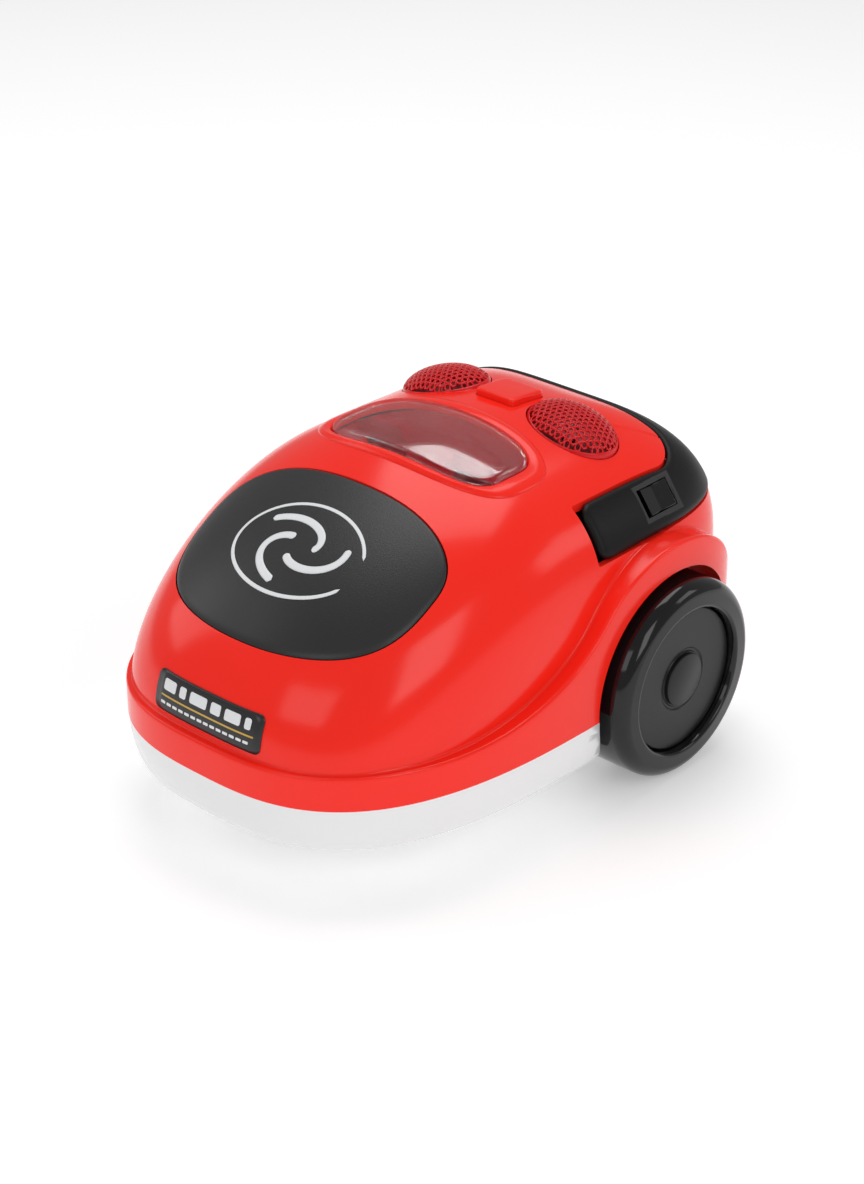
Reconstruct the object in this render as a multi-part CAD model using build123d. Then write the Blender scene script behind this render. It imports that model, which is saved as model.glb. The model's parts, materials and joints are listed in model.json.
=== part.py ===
from build123d import *
from functools import lru_cache
import math
import os

# Battery toy vacuum cleaner of the canister kind: a red domed body on a white tray, two large
# rear wheels and a small caster under the nose. Millimetres, +Z up, X across the body, the nose
# towards -Y, the origin on the floor below the middle of the body.

# ---------------------------------------------------------------- overall sizes
LENGTH = 220.0  # nose to tail of the body
BODY_WIDTH = 159.0  # over the two fenders
CROWN_Z = 125.6  # highest point of the plain dome
WALL = 2.2  # moulded wall of every large shell
SIDE_GAP = 0.3  # gap round a piece let into the shell
FIT = 0.05  # radial running clearance of a shaft in its hole
SKIN = 0.05  # gap under a piece that lies on another

# ---------------------------------------------------------------- heights above the floor
TRAY_Z = 16.7  # underside of the white tray
SEAM_Z = 35.6  # where the red shell meets the tray
LEDGE_Z = 48.5  # top of the lip round the nose
DOME_Z = 50.0  # where the dome starts to lean in
BAND_LOW_Z = 90.5  # lower edge of the black band

# ---------------------------------------------------------------- plan of the body
LIP_CENTRE_Y = 14.0  # where tray and lip are widest
LIP_POWER = 2.85  # squareness of the nose of tray and lip
LIP_TAIL_POWER = 4.5
TRAY_TUCK = 6.2  # how far the tray's underside stands in from its rim
DOME_CENTRE_Y = 5.0  # where the dome is widest
DOME_SIDE = 6.7  # how far the dome stands in from the lip at the sides
DOME_NOSE = 3.5  # the same at the nose
DOME_TAIL = 0.5  # the same at the tail
NOSE_POWER = 3.17  # squareness of the dome's plan, ahead of its widest place
NOSE_SOFTEN = 1.3  # loss of that squareness up to the crown
TAIL_POWER = 4.3
TAIL_HARDEN = 1.0
SIDE_CURVE = (4.27, 1.7)  # powers of the dome's cross-section, over height and over width
NOSE_CURVE = (1.93, 1.3)  # the same for its side view, ahead
TAIL_CURVE = (3.28, 3.49)  # and behind
LEDGE_LEVEL = 42.0  # how far behind the nose the lip starts to climb
FENDER_START = 137.0  # angle on the fender's arc where the climb meets it
FENDER_END = 8.6  # and where the arc ends, low at the rear
SECTION_POINTS = 24  # points of a plan outline
ARCH_POINTS = 24  # intervals of the dome's cross-sections
STATIONS = 10  # cross-sections ahead of and behind the widest place
END_TURN = 86.0  # the last of them, as an angle round to the nose or tail

# ---------------------------------------------------------------- wheels and axle
AXLE_Y = 49.0
WHEEL_R = 38.0
WHEEL_OUT = 87.7  # outer lip of the tyre, from the middle
WHEEL_WIDTH = 25.0
TYRE_ROUND = 4.5
RIM_R = 27.6
RECESS_DEPTH = 3.2
HUB_WALL = 2.4
BOSS_R = 7.0
CAP_R = 10.1
CAP_RISE = 1.4
AXLE_R = 2.0
AXLE_END = 79.5
CLIP_R = 4.6
CLIP_THICK = 1.0
SPACER_R = 5.0
ARCH_CLEAR = 3.2  # gap between tyre and arch
FENDER_BAND = 11.0  # width of the fender's face above the arch
WELL_CLEAR = 1.5  # gap between the tyre and the inner wall of its well
SADDLE_X = 52.0
SADDLE_THICK = 6.0
SADDLE_HALF = 6.0
SADDLE_TOP = 5.0

# ---------------------------------------------------------------- pieces let into the dome
BADGE_Y = -51.0
BADGE_HALF = 52.4
BADGE_FRONT = 40.0
BADGE_REAR = 22.0
BADGE_THICK = 1.3
BADGE_RISE = 0.35
BADGE_POWERS = (2.35, 3.0)  # squareness of its front and rear
LABEL_WIDE = 51.0
LABEL_Z = (50.9, 64.7)
LABEL_ROUND = 2.5
LABEL_THICK = 0.35
PAD_Y = 7.0
PAD_HALF = 46.0
PAD_REACH = 23.0
PAD_POWER = 2.9
PAD_RISE = 0.9
WINDOW_Y = 6.0
WINDOW_HALF = 39.5
WINDOW_REACH = 18.0
WINDOW_POWER = 3.3
LENS_RISE = 2.2
LENS_THICK = 1.8
FLANGE_WIDE = 3.0
FLANGE_THICK = 1.2
MESH_X = 30.0
MESH_Y = 49.5
MESH_TILT = 14.0  # lean of the domed grilles, outwards
MESH_HALF = 18.4
MESH_REACH = 14.8
MESH_RISE = 8.6
MESH_SKIRT = 4.2  # depth of the rim below a grille's base
MESH_HOLE_DEPTH = 14.0
MESH_THICK = 1.2
MESH_SINK = 2.45  # how far a grille's base lies below the plain dome

# ---------------------------------------------------------------- band and switch
BAND_FRONT_Y = 19.5
BAND_RISE = 0.6
BAND_THICK = 1.2
BAND_CORNER = 5.0
PANEL_HALF = 57.0  # half-width of the red panel that the band goes round
PANEL_REAR_Y = 81.0
PANEL_CORNER = 16.0
SWITCH_Y = 56.5
SWITCH_Z = 101.0  # height on the dome's side that the switch is set into
SWITCH_SINK = 1.38  # depth of its seat below the plain dome
BEZEL_LONG = 21.0
BEZEL_WIDE = 14.6
BEZEL_THICK = 1.6
SEAT_BORDER = 4.0  # how much longer and wider than the bezel its seat in the band is
SEAT_DEPTH = 2.2
CUTOUT_LONG = 19.0
CUTOUT_WIDE = 12.8
SWITCH_DEPTH = 11.0
ROCKER_LONG = 14.0
ROCKER_WIDE = 10.0
ROCKER_CLEAR = 1.2  # room at each end, so that the rocker's corners swing free
ROCKER_PIVOT = 3.2  # depth of the rocker's pivot below the bezel's base
PIVOT_R = 1.0
TERMINAL_LONG = 6.0

# ---------------------------------------------------------------- top button
BUTTON_HALF = 9.1
BUTTON_FRONT_Y = 41.0
BUTTON_REAR_Y = 59.0
BUTTON_RISE = 2.6
BUTTON_ROUND = 2.0
SLEEVE_DEEP = 15.36  # floor of the button's sleeve, below the plain dome
SLEEVE_WALL = 1.6
BUTTON_DEEP = 7.86  # underside of the button, below the plain dome
STEM_R = 2.4
BARB_R = 3.2
SPRING_R = 4.2
SPRING_WIRE = 0.45
SPRING_TURNS = 3

# ---------------------------------------------------------------- caster
CASTER_Y = -72.0
ROLLER_R = 7.0
ROLLER_HALF = 3.0
TRAIL = 5.0
CHEEK_THICK = 2.0
CHEEK_GAP = 0.4
FORK_R = 9.0
FORK_TOP_Z = 16.2
FORK_PLATE = 1.5
STEM_PIN_R = 3.0
STEM_BOSS_R = 6.0
STEM_BOSS_Z = 27.0
STEM_CLIP = 1.0
ROLLER_PIN_R = 1.2

# ---------------------------------------------------------------- batteries
CELL_R = 7.25
CELL_LONG = 50.5
CELL_PITCH = 15.4
CELL_COUNT = 4
CELL_Z = 26.9
BAY_Y = 8.0
BAY_HALF_X = 32.0
BAY_HALF_Y = 29.5
BAY_ROOF_Z = 36.8
BAY_WALL = 1.6
CONTACT_THICK = 0.5
DOOR_THICK = 1.4
DOOR_LIP = 3.0
DOOR_TAB = 11.0
DOOR_SCREW_R = 1.3
DOOR_BOSS_R = 4.2  # thicker place of the door's tab that its screw sits in
DOOR_BOSS_HIGH = 3.4
DOOR_SEAT = 2.1  # depth of the screw's seat, so that its head stays below the face
DOOR_SCREW_LONG = 5.5

# ---------------------------------------------------------------- fan, board and sound
MOTOR_R = 12.0
MOTOR_LONG = 30.0
MOTOR_Y = 22.0
MOTOR_Z = 61.0
SHAFT_R = 1.0
SHAFT_OUT = 12.0
FAN_R = 19.0
FAN_LONG = 8.0
BLADES = 9
HOUSING_R = 22.0
HOUSING_WALL = 1.8
CHAMBER_DEEP = 33.6  # floor of the dust bowl below the crown
DIVIDER_DEEP = 12.6  # top of the plate across it
CHAMBER_WALL = 1.6
BOARD_SIZE = (52.0, 1.6, 34.0)
BOARD_AT = (0.0, 72.0, 58.0)
SPEAKER_R = 14.0
SPEAKER_Y = -48.0
SPEAKER_THICK = 6.5

# ---------------------------------------------------------------- case screws
SCREW_SPOTS = ((44.0, -58.0), (-44.0, -58.0), (52.0, 98.0), (-52.0, 98.0))
POST_R = 4.0
SCREW_R = 1.3
SCREW_HEAD_R = 2.8
SCREW_HEAD = 2.0
SCREW_BITE = 12.0

# ---------------------------------------------------------------- sizes that follow
NOSE = -LENGTH / 2
TAIL = LENGTH / 2
HALF = BODY_WIDTH / 2
AXLE_Z = WHEEL_R
ARCH_R = WHEEL_R + ARCH_CLEAR
WHEEL_IN = WHEEL_OUT - WHEEL_WIDTH
WELL_X = WHEEL_IN - WELL_CLEAR
FENDER_R = ARCH_R + FENDER_BAND
FLOOR_Z = TRAY_Z + WALL
CHAMBER_FLOOR_Z = CROWN_Z - CHAMBER_DEEP
HIGH = 200.0

os.makedirs("parts", exist_ok=True)
PARTS = {}


# ================================================================ general helpers
def box(x, y, z):
    """Box from three (low, high) pairs."""
    size = [pair[1] - pair[0] for pair in (x, y, z)]
    middle = [(pair[1] + pair[0]) / 2 for pair in (x, y, z)]
    return Pos(*middle) * Box(*size)


def upright(radius, z_low, z_high, x=0.0, y=0.0):
    """Cylinder along Z between two heights."""
    return Pos(x, y, (z_low + z_high) / 2) * Cylinder(radius, z_high - z_low)


def across(radius, x_low, x_high, y=AXLE_Y, z=AXLE_Z):
    """Cylinder along X between two stations."""
    return Pos((x_low + x_high) / 2, y, z) * Rot(0, 90, 0) * Cylinder(radius, x_high - x_low)


def along(radius, y_low, y_high, x, z):
    """Cylinder along Y between two stations."""
    return Pos(x, (y_low + y_high) / 2, z) * Rot(90, 0, 0) * Cylinder(radius, y_high - y_low)


def pair(name, shape):
    """Stores a right-hand piece and its mirror image."""
    PARTS[name + "_right"] = shape
    PARTS[name + "_left"] = shape.mirror(Plane.YZ)


def plan_wire(half, front, rear, powers, z, centre_y):
    """Closed smooth outline |x/half|^p + |y/reach|^p = 1 at height z; p and reach change at centre_y."""
    points = []
    for k in range(SECTION_POINTS):
        angle = 2 * math.pi * k / SECTION_POINTS
        reach, power = (rear, powers[1]) if math.sin(angle) >= 0 else (front, powers[0])
        share = (abs(math.cos(angle)) / half) ** power + (abs(math.sin(angle)) / reach) ** power
        radius = share ** (-1 / power)
        points.append(Vector(radius * math.cos(angle), centre_y + radius * math.sin(angle), z))
    steps = [k / SECTION_POINTS for k in range(SECTION_POINTS + 1)]
    return Wire([Edge.make_spline(points, periodic=True, parameters=steps)])


def plan_prism(half, front, rear, powers, centre_y, z_low=0.0, z_high=HIGH):
    """Upright prism over such an outline."""
    face = Face(plan_wire(half, front, rear, powers, z_low, centre_y))
    return Solid.extrude(face, Vector(0, 0, z_high - z_low))


# ================================================================ surfaces of the body
def lip_wire(z, inset):
    """Outline of tray and lip at height z."""
    front = LIP_CENTRE_Y - NOSE - inset
    rear = TAIL - LIP_CENTRE_Y - inset
    return plan_wire(HALF - inset, front, rear, (LIP_POWER, LIP_TAIL_POWER), z, LIP_CENTRE_Y)


def lip_prism(z_low, z_high, inset=0.0):
    return Solid.extrude(Face(lip_wire(z_low, inset)), Vector(0, 0, z_high - z_low))


def falling(rise, curve):
    """Share of a half-width left at the given share of the height, from a pair of powers."""
    return (1 - rise ** curve[0]) ** (1 / curve[1])


def dome_level(x, y, z, inset):
    """Below 1 inside the dome, above 1 outside, its surface taken in by inset."""
    rise = min(max((z - DOME_Z) / (CROWN_Z - DOME_Z - inset), 0.0), 1.0)
    half = (HALF - DOME_SIDE - inset) * falling(rise, SIDE_CURVE)
    if y < DOME_CENTRE_Y:
        reach = (DOME_CENTRE_Y - NOSE - DOME_NOSE - inset) * falling(rise, NOSE_CURVE)
        power = NOSE_POWER - NOSE_SOFTEN * rise
    else:
        reach = (TAIL - DOME_CENTRE_Y - DOME_TAIL - inset) * falling(rise, TAIL_CURVE)
        power = TAIL_POWER + TAIL_HARDEN * rise
    if min(half, reach) < 1e-6:
        return 2.0
    return (abs(x) / half) ** power + (abs(y - DOME_CENTRE_Y) / reach) ** power


def halved(inside, low, high):
    """Where a test that holds at low and fails at high changes over."""
    while high - low > 1e-4:
        middle = (low + high) / 2
        low, high = (middle, high) if inside(middle) else (low, middle)
    return low


def dome_top(x, y):
    """Height of the plain dome over a point of the plan."""
    return halved(lambda z: dome_level(x, y, z, 0.0) < 1, DOME_Z, CROWN_Z)


def dome_side(y, z):
    """Half-width of the plain dome at a station and a height."""
    return halved(lambda x: dome_level(x, y, z, 0.0) < 1, 0.0, BODY_WIDTH)


def dome_section(y, inset):
    """Cross-section of the dome at the station y: an arch over a flat base at the seam."""
    points = []
    for k in range(ARCH_POINTS + 1):
        angle = math.pi * k / ARCH_POINTS
        ca, sa = math.cos(angle), math.sin(angle)
        reach = halved(lambda r: dome_level(r * ca, y, SEAM_Z + r * sa, inset) < 1, 0.0, BODY_WIDTH)
        points.append(Vector(reach * ca, y, SEAM_Z + reach * sa))
    steps = [k / ARCH_POINTS for k in range(ARCH_POINTS + 1)]
    arch = Edge.make_spline(points, parameters=steps)
    return Wire([arch, Edge.make_line(points[-1], points[0])])


@lru_cache(maxsize=None)
def dome(inset=0.0):
    """The dome as a solid, its surface taken in by inset, or out where inset is negative."""
    front = DOME_CENTRE_Y - NOSE - DOME_NOSE - inset
    rear = TAIL - DOME_CENTRE_Y - DOME_TAIL - inset
    turns = [math.radians(END_TURN) * k / STATIONS for k in range(-STATIONS, STATIONS + 1)]
    stations = [DOME_CENTRE_Y + (rear if t > 0 else front) * math.sin(t) for t in turns]
    return Solid.make_loft([dome_section(y, inset) for y in stations])


def skirt_profile(inset):
    """Side view of the lip: level round the nose, then an S-curve up into the fender's arc."""
    radius = FENDER_R - inset
    lead = math.radians(FENDER_START)
    trail = math.radians(FENDER_END)
    low = SEAM_Z - 1
    corner = (NOSE - 5, LEDGE_Z - inset)
    bend = (NOSE + LEDGE_LEVEL, LEDGE_Z - inset)
    start = (AXLE_Y + radius * math.cos(lead), AXLE_Z + radius * math.sin(lead))
    end = (AXLE_Y + radius * math.cos(trail), AXLE_Z + radius * math.sin(trail))
    with BuildSketch(Plane.YZ) as sketch:
        with BuildLine():
            Line((NOSE - 5, low), corner)
            Line(corner, bend)
            Spline(bend, start, tangents=[(1, 0), (math.sin(lead), -math.cos(lead))])
            ThreePointArc(start, (AXLE_Y, AXLE_Z + radius), end)
            Line(end, (end[0] + 2, low))
            Line((end[0] + 2, low), (NOSE - 5, low))
        make_face()
    return sketch.sketch


@lru_cache(maxsize=None)
def skirt(inset=0.0):
    """Lip round the nose that sweeps up into the two fenders, as a solid."""
    slab = extrude(skirt_profile(inset), amount=HALF + 10, both=True)
    return slab & lip_prism(SEAM_Z, CROWN_Z, inset)


@lru_cache(maxsize=None)
def tray_body(inset=0.0):
    """The tray as a solid: its side rounds in towards a flat underside."""
    wires = []
    for share in (0.0, 0.05, 0.18, 0.42, 0.72, 1.0):
        tuck = TRAY_TUCK * (1 - math.sqrt(1 - (1 - share) ** 2))
        z = TRAY_Z + inset + share * (SEAM_Z - TRAY_Z - inset)
        wires.append(lip_wire(z, inset + tuck))
    return Solid.make_loft(wires)


def wells(grow, x_from):
    """The two round spaces of the wheels, or the walls round them."""
    right = across(ARCH_R + grow, x_from, HALF + 20)
    return right + right.mirror(Plane.YZ)


def badge_prism(inset):
    front, rear = BADGE_FRONT - inset, BADGE_REAR - inset
    return plan_prism(BADGE_HALF - inset, front, rear, BADGE_POWERS, BADGE_Y, DOME_Z)


def window_prism(inset):
    reach = WINDOW_REACH - inset
    powers = (WINDOW_POWER, WINDOW_POWER)
    return plan_prism(WINDOW_HALF - inset, reach, reach, powers, WINDOW_Y, DOME_Z)


def pad_prism():
    powers = (PAD_POWER, PAD_POWER)
    return plan_prism(PAD_HALF, PAD_REACH, PAD_REACH, powers, PAD_Y, DOME_Z)


def band_region(inset):
    """Space of the band: above its lower edge, behind its front end, outside the top panel."""
    with BuildSketch(Plane.YZ) as side:
        with BuildLine():
            low = BAND_LOW_Z + inset
            front = BAND_FRONT_Y + inset
            Polyline((front, low), (TAIL + 20, low), (TAIL + 20, HIGH), (front, HIGH), close=True)
        make_face()
        corner = side.vertices().sort_by_distance(Vector(0, front, low))[0]
        fillet(corner, BAND_CORNER)
    slab = extrude(side.sketch, amount=HALF + 10, both=True)
    wide = 2 * (PANEL_HALF + inset)
    long = PANEL_REAR_Y + inset + 100
    panel = Pos(0, PANEL_REAR_Y + inset - long / 2, 0) * RectangleRounded(wide, long, PANEL_CORNER)
    return slab - extrude(panel, amount=HIGH)


def switch_plane(depth=0.0):
    """Frame of the rocker switch: x along the body, z out of its face, taken in by depth."""
    x = dome_side(SWITCH_Y, SWITCH_Z)
    slope = dome_side(SWITCH_Y, SWITCH_Z - 0.5) - dome_side(SWITCH_Y, SWITCH_Z + 0.5)
    out = Vector(1, 0, slope).normalized()
    centre = Vector(x, SWITCH_Y, SWITCH_Z) - out * (SWITCH_SINK + depth)
    return Plane(origin=centre, x_dir=(0, 1, 0), z_dir=out)


def switch_box(long, wide, depth_low, depth_high):
    """Box in the switch's frame between two depths below its seat."""
    middle = (depth_low + depth_high) / 2
    return switch_plane().location * Pos(0, 0, -middle) * Box(long, wide, depth_high - depth_low)


def mesh_place():
    return Pos(MESH_X, MESH_Y, dome_top(MESH_X, MESH_Y) - MESH_SINK) * Rot(0, MESH_TILT, 0)


def mesh_ellipse(grow, depth_low, depth_high):
    """Elliptical prism of a grille between two heights in its own frame."""
    face = Pos(0, 0, depth_low) * Ellipse(MESH_HALF + grow, MESH_REACH + grow)
    return mesh_place() * extrude(face, amount=depth_high - depth_low)


def button_height(deep):
    """Height of a level of the button's parts, given as a depth below the plain dome."""
    return dome_top(0, (BUTTON_REAR_Y + BUTTON_FRONT_Y) / 2) - deep


def button_prism(grow, z_low, z_high):
    long = BUTTON_REAR_Y - BUTTON_FRONT_Y
    middle = (BUTTON_REAR_Y + BUTTON_FRONT_Y) / 2
    face = RectangleRounded(2 * (BUTTON_HALF + grow), long + 2 * grow, BUTTON_ROUND + grow)
    return extrude(Pos(0, middle, z_low) * face, amount=z_high - z_low)


# ================================================================ shells
def upper_shell():
    outer = dome() + skirt()
    shell = outer - (dome(WALL) + skirt(WALL) - wells(WALL, WELL_X - WALL))
    shell = shell + ((dome(-PAD_RISE) & pad_prism()) - dome(WALL / 2))
    floor = button_height(SLEEVE_DEEP)
    shell = shell + (button_prism(SLEEVE_WALL + SIDE_GAP, floor, HIGH) & dome(WALL / 2))
    shell = shell - button_prism(SIDE_GAP, floor + SLEEVE_WALL, HIGH)
    middle = (BUTTON_REAR_Y + BUTTON_FRONT_Y) / 2
    shell = shell - upright(STEM_R + SIDE_GAP, 0, HIGH, y=middle)
    for x, y in SCREW_SPOTS:
        post = upright(POST_R, SEAM_Z, HIGH, x, y) & dome(WALL / 2)
        shell = shell + post - upright(SCREW_R, SEAM_Z - 1, SEAM_Z + SCREW_BITE + 2, x, y)
    shell = shell - wells(0, WELL_X)
    shell = shell - (badge_prism(-SIDE_GAP) - dome(BADGE_THICK + SKIN))
    shell = shell - window_prism(0)
    shell = shell - (band_region(-SIDE_GAP) - dome(BAND_THICK + SKIN))
    opening = mesh_ellipse(SIDE_GAP, -MESH_HOLE_DEPTH, MESH_HOLE_DEPTH)
    shell = shell - opening - opening.mirror(Plane.YZ)
    long, wide = BEZEL_LONG + SEAT_BORDER + 0.6, BEZEL_WIDE + SEAT_BORDER + 0.6
    shell = shell - switch_box(long, wide, -SEAT_BORDER, SWITCH_DEPTH + SEAT_BORDER)
    slot = box((-WELL_X - 1, WELL_X + 1), (AXLE_Y - AXLE_R - 0.4, AXLE_Y + AXLE_R + 0.4), (0, AXLE_Z))
    return shell - slot - across(AXLE_R + 0.4, -WELL_X - 1, WELL_X + 1)


def base_tray():
    tray = tray_body() - (tray_body(WALL) - wells(WALL, WELL_X - WALL))
    bay_x = (-BAY_HALF_X - BAY_WALL, BAY_HALF_X + BAY_WALL)
    bay_y = (BAY_Y - BAY_HALF_Y - BAY_WALL, BAY_Y + BAY_HALF_Y + BAY_WALL)
    tray = tray + box(bay_x, bay_y, (TRAY_Z, BAY_ROOF_Z))
    tray = tray + box((-7, 7), (bay_y[0] - 10, bay_y[0] + 0.5), (TRAY_Z, FLOOR_Z + 7))
    for x in (-SADDLE_X, SADDLE_X):
        saddle_x = (x - SADDLE_THICK / 2, x + SADDLE_THICK / 2)
        saddle_y = (AXLE_Y - SADDLE_HALF, AXLE_Y + SADDLE_HALF)
        tray = tray + box(saddle_x, saddle_y, (FLOOR_Z - 1, AXLE_Z + SADDLE_TOP))
    for y in (MOTOR_Y + 5, MOTOR_Y + MOTOR_LONG - 7):
        tray = tray + box((-8, 8), (y - 1.5, y + 1.5), (FLOOR_Z, MOTOR_Z - MOTOR_R + 2.5))
    tray = tray - along(MOTOR_R + SKIN, MOTOR_Y - 1, MOTOR_Y + MOTOR_LONG + 1, 0, MOTOR_Z)
    tray = tray + upright(STEM_BOSS_R, TRAY_Z, STEM_BOSS_Z, y=CASTER_Y)
    tray = tray + upright(SPEAKER_R + 2, FLOOR_Z - 1, FLOOR_Z + 4, y=SPEAKER_Y)
    tray = tray - upright(SPEAKER_R + SKIN, FLOOR_Z, FLOOR_Z + 8, y=SPEAKER_Y)
    for x, y in SCREW_SPOTS:
        tray = tray + upright(POST_R, TRAY_Z + 0.5, SEAM_Z - SKIN, x, y)
        tray = tray - upright(SCREW_R + 0.3, 0, HIGH, x, y)
        tray = tray - upright(SCREW_HEAD_R + 0.4, 0, TRAY_Z + 6, x, y)
    for k in range(6):
        turn = math.radians(60 * k)
        x, y = 7.5 * math.cos(turn), SPEAKER_Y + 7.5 * math.sin(turn)
        tray = tray - upright(1.6, 0, FLOOR_Z + 1, x, y)
    tray = tray - upright(1.6, 0, FLOOR_Z + 1, 0, SPEAKER_Y)
    inside_x = (-BAY_HALF_X, BAY_HALF_X)
    inside_y = (BAY_Y - BAY_HALF_Y, BAY_Y + BAY_HALF_Y)
    tray = tray - box(inside_x, inside_y, (0, BAY_ROOF_Z - BAY_WALL))
    tray = tray - door_plate(SIDE_GAP, 0, TRAY_Z + DOOR_THICK + SKIN)
    tray = tray - upright(DOOR_SCREW_R, 0, TRAY_Z + DOOR_SEAT + DOOR_SCREW_LONG + 0.5, y=door_screw_y())
    boss_top = TRAY_Z + DOOR_BOSS_HIGH + SKIN
    tray = tray - upright(DOOR_BOSS_R + SIDE_GAP, 0, boss_top, y=door_screw_y())
    tray = tray - wells(0, WELL_X)
    tray = tray - across(AXLE_R + 0.02, -HIGH, HIGH)
    return tray - upright(STEM_PIN_R + FIT, 0, HIGH, y=CASTER_Y)


def door_screw_y():
    return BAY_Y - BAY_HALF_Y - BAY_WALL - 5


def door_plate(grow, z_low, z_high):
    """Plan of the battery door with its screw tab, between two heights."""
    x = BAY_HALF_X + DOOR_LIP + grow
    y_low = BAY_Y - BAY_HALF_Y - DOOR_LIP - grow
    y_high = BAY_Y + BAY_HALF_Y + DOOR_LIP + grow
    plate = box((-x, x), (y_low, y_high), (z_low, z_high))
    tab = box((-8 - grow, 8 + grow), (y_low - DOOR_TAB + DOOR_LIP, y_low + 1), (z_low, z_high))
    return plate + tab


def rear_band():
    band = (band_region(0.0) & dome(-BAND_RISE)) - dome(BAND_THICK)
    long, wide = BEZEL_LONG + SEAT_BORDER, BEZEL_WIDE + SEAT_BORDER
    seat = switch_box(long, wide, 0, SEAT_DEPTH) & dome(-BAND_RISE) & band_region(0.0)
    band = band + (seat - dome(BAND_THICK + 0.6))
    band = band - switch_box(BEZEL_LONG + 0.4, BEZEL_WIDE + 0.4, -8, 0)
    return band - switch_box(CUTOUT_LONG + 0.1, CUTOUT_WIDE + 0.1, -8, SWITCH_DEPTH)


def badge_panel():
    return (badge_prism(0) & dome(-BADGE_RISE)) - dome(BADGE_THICK)


def front_label():
    """Thin plate that lies on the nose."""
    middle = (LABEL_Z[0] + LABEL_Z[1]) / 2
    face = RectangleRounded(LABEL_WIDE, LABEL_Z[1] - LABEL_Z[0], LABEL_ROUND)
    prism = Pos(0, 0, middle) * Rot(90, 0, 0) * extrude(face, amount=HIGH)
    return (prism & dome(-LABEL_THICK)) - dome(-SKIN / 2)


# ================================================================ window and grilles
def window_lens():
    """Clear cover: a raised cap with a rim that ends in a flange under the shell."""
    depth = WALL + FLANGE_THICK + SKIN
    cap = (window_prism(SIDE_GAP) & dome(-LENS_RISE)) - dome(depth)
    cap = cap - (window_prism(SIDE_GAP + LENS_THICK) & dome(LENS_THICK - LENS_RISE))
    flange = (window_prism(-FLANGE_WIDE) & dome(WALL + SKIN)) - dome(depth)
    return cap + (flange - window_prism(SIDE_GAP + LENS_THICK))


def chamber_bowl():
    """Dust bowl that hangs under the window."""
    depth = WALL + FLANGE_THICK + 2 * SKIN
    top = dome(depth)
    outer = window_prism(-FLANGE_WIDE) & top & box((-HIGH, HIGH), (-HIGH, HIGH), (CHAMBER_FLOOR_Z, HIGH))
    floor = CHAMBER_FLOOR_Z + CHAMBER_WALL
    inner = window_prism(-FLANGE_WIDE + CHAMBER_WALL) & box((-HIGH, HIGH), (-HIGH, HIGH), (floor, HIGH))
    return outer - inner


def chamber_divider():
    """Upright plate across the bowl, notched for the dust."""
    floor = CHAMBER_FLOOR_Z + CHAMBER_WALL + SKIN
    top = CROWN_Z - DIVIDER_DEEP
    plate = box((-30, 30), (6, 7.6), (floor, top))
    plate = plate - Pos(0, 6.8, top) * Rot(90, 0, 0) * Cylinder(12, 10)
    return plate & dome(WALL + FLANGE_THICK + 3)


def chamber_drum():
    """Small ribbed filter drum in the bowl, ahead of the divider."""
    z = CHAMBER_FLOOR_Z + CHAMBER_WALL + 6.7
    drum = across(6.0, -22, 22, -1.5, z)
    for k in range(7):
        drum = drum + across(6.6, -19.5 + 6 * k, -17.5 + 6 * k, -1.5, z)
    return drum - across(4.4, -20, 30, -1.5, z)


def mesh_dome():
    """Domed lamp cover: an elliptical cap on a short rim."""
    place = mesh_place()
    cap = place * (scale(Sphere(1), by=(MESH_HALF, MESH_REACH, MESH_RISE)))
    low = mesh_ellipse(1, -30, 0)
    rim = mesh_ellipse(0, -MESH_SKIRT, 0)
    hollow_half = MESH_HALF - MESH_THICK
    hollow = (hollow_half, MESH_REACH - MESH_THICK, MESH_RISE - MESH_THICK)
    body = (cap - low) + rim
    body = body - place * (scale(Sphere(1), by=hollow))
    return body - mesh_ellipse(-MESH_THICK, -30, 0)


def reflector():
    """Plate under a lamp cover, with a hole for the lamp."""
    plate = mesh_ellipse(-MESH_THICK - 0.1, -MESH_SKIRT, -MESH_SKIRT + MESH_THICK)
    return plate - mesh_place() * Cylinder(2.6, 40)


def lamp():
    """Round-nosed lamp on a flange."""
    body = Pos(0, 0, -2) * Cylinder(2.5, 7) + Pos(0, 0, 1.5) * Sphere(2.5)
    return mesh_place() * (body + Pos(0, 0, -5) * Cylinder(3.2, 1))


# ================================================================ switch and button
def switch_bezel():
    frame = switch_box(BEZEL_LONG, BEZEL_WIDE, -BEZEL_THICK, 0)
    case = switch_box(CUTOUT_LONG, CUTOUT_WIDE, 0, SWITCH_DEPTH)
    long, wide = ROCKER_LONG + 2 * ROCKER_CLEAR, ROCKER_WIDE + 2 * SIDE_GAP
    pocket = switch_box(long, wide, -8, SWITCH_DEPTH - 1.4)
    hole = Rot(90, 0, 0) * Cylinder(PIVOT_R + FIT, ROCKER_WIDE + 2.4)
    return frame + case - pocket - switch_plane(ROCKER_PIVOT).location * hole


def switch_rocker():
    """Rocker with two flats that meet in a ridge, on two stub pivots."""
    place = switch_plane(ROCKER_PIVOT).location
    half = ROCKER_LONG / 2
    with BuildSketch(Plane.XZ) as side:
        with BuildLine():
            top = ROCKER_PIVOT + BEZEL_THICK
            Polyline((-half, top + 0.9), (0, top - 0.5), (half, top + 0.9), (half - 1.6, -2.4))
            Line((half - 1.6, -2.4), (1.6 - half, -2.4))
            Line((1.6 - half, -2.4), (-half, top + 0.9))
        make_face()
    block = extrude(side.sketch, amount=ROCKER_WIDE / 2, both=True)
    pins = Rot(90, 0, 0) * Cylinder(PIVOT_R, ROCKER_WIDE + 2.0)
    return place * (block + pins)


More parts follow.
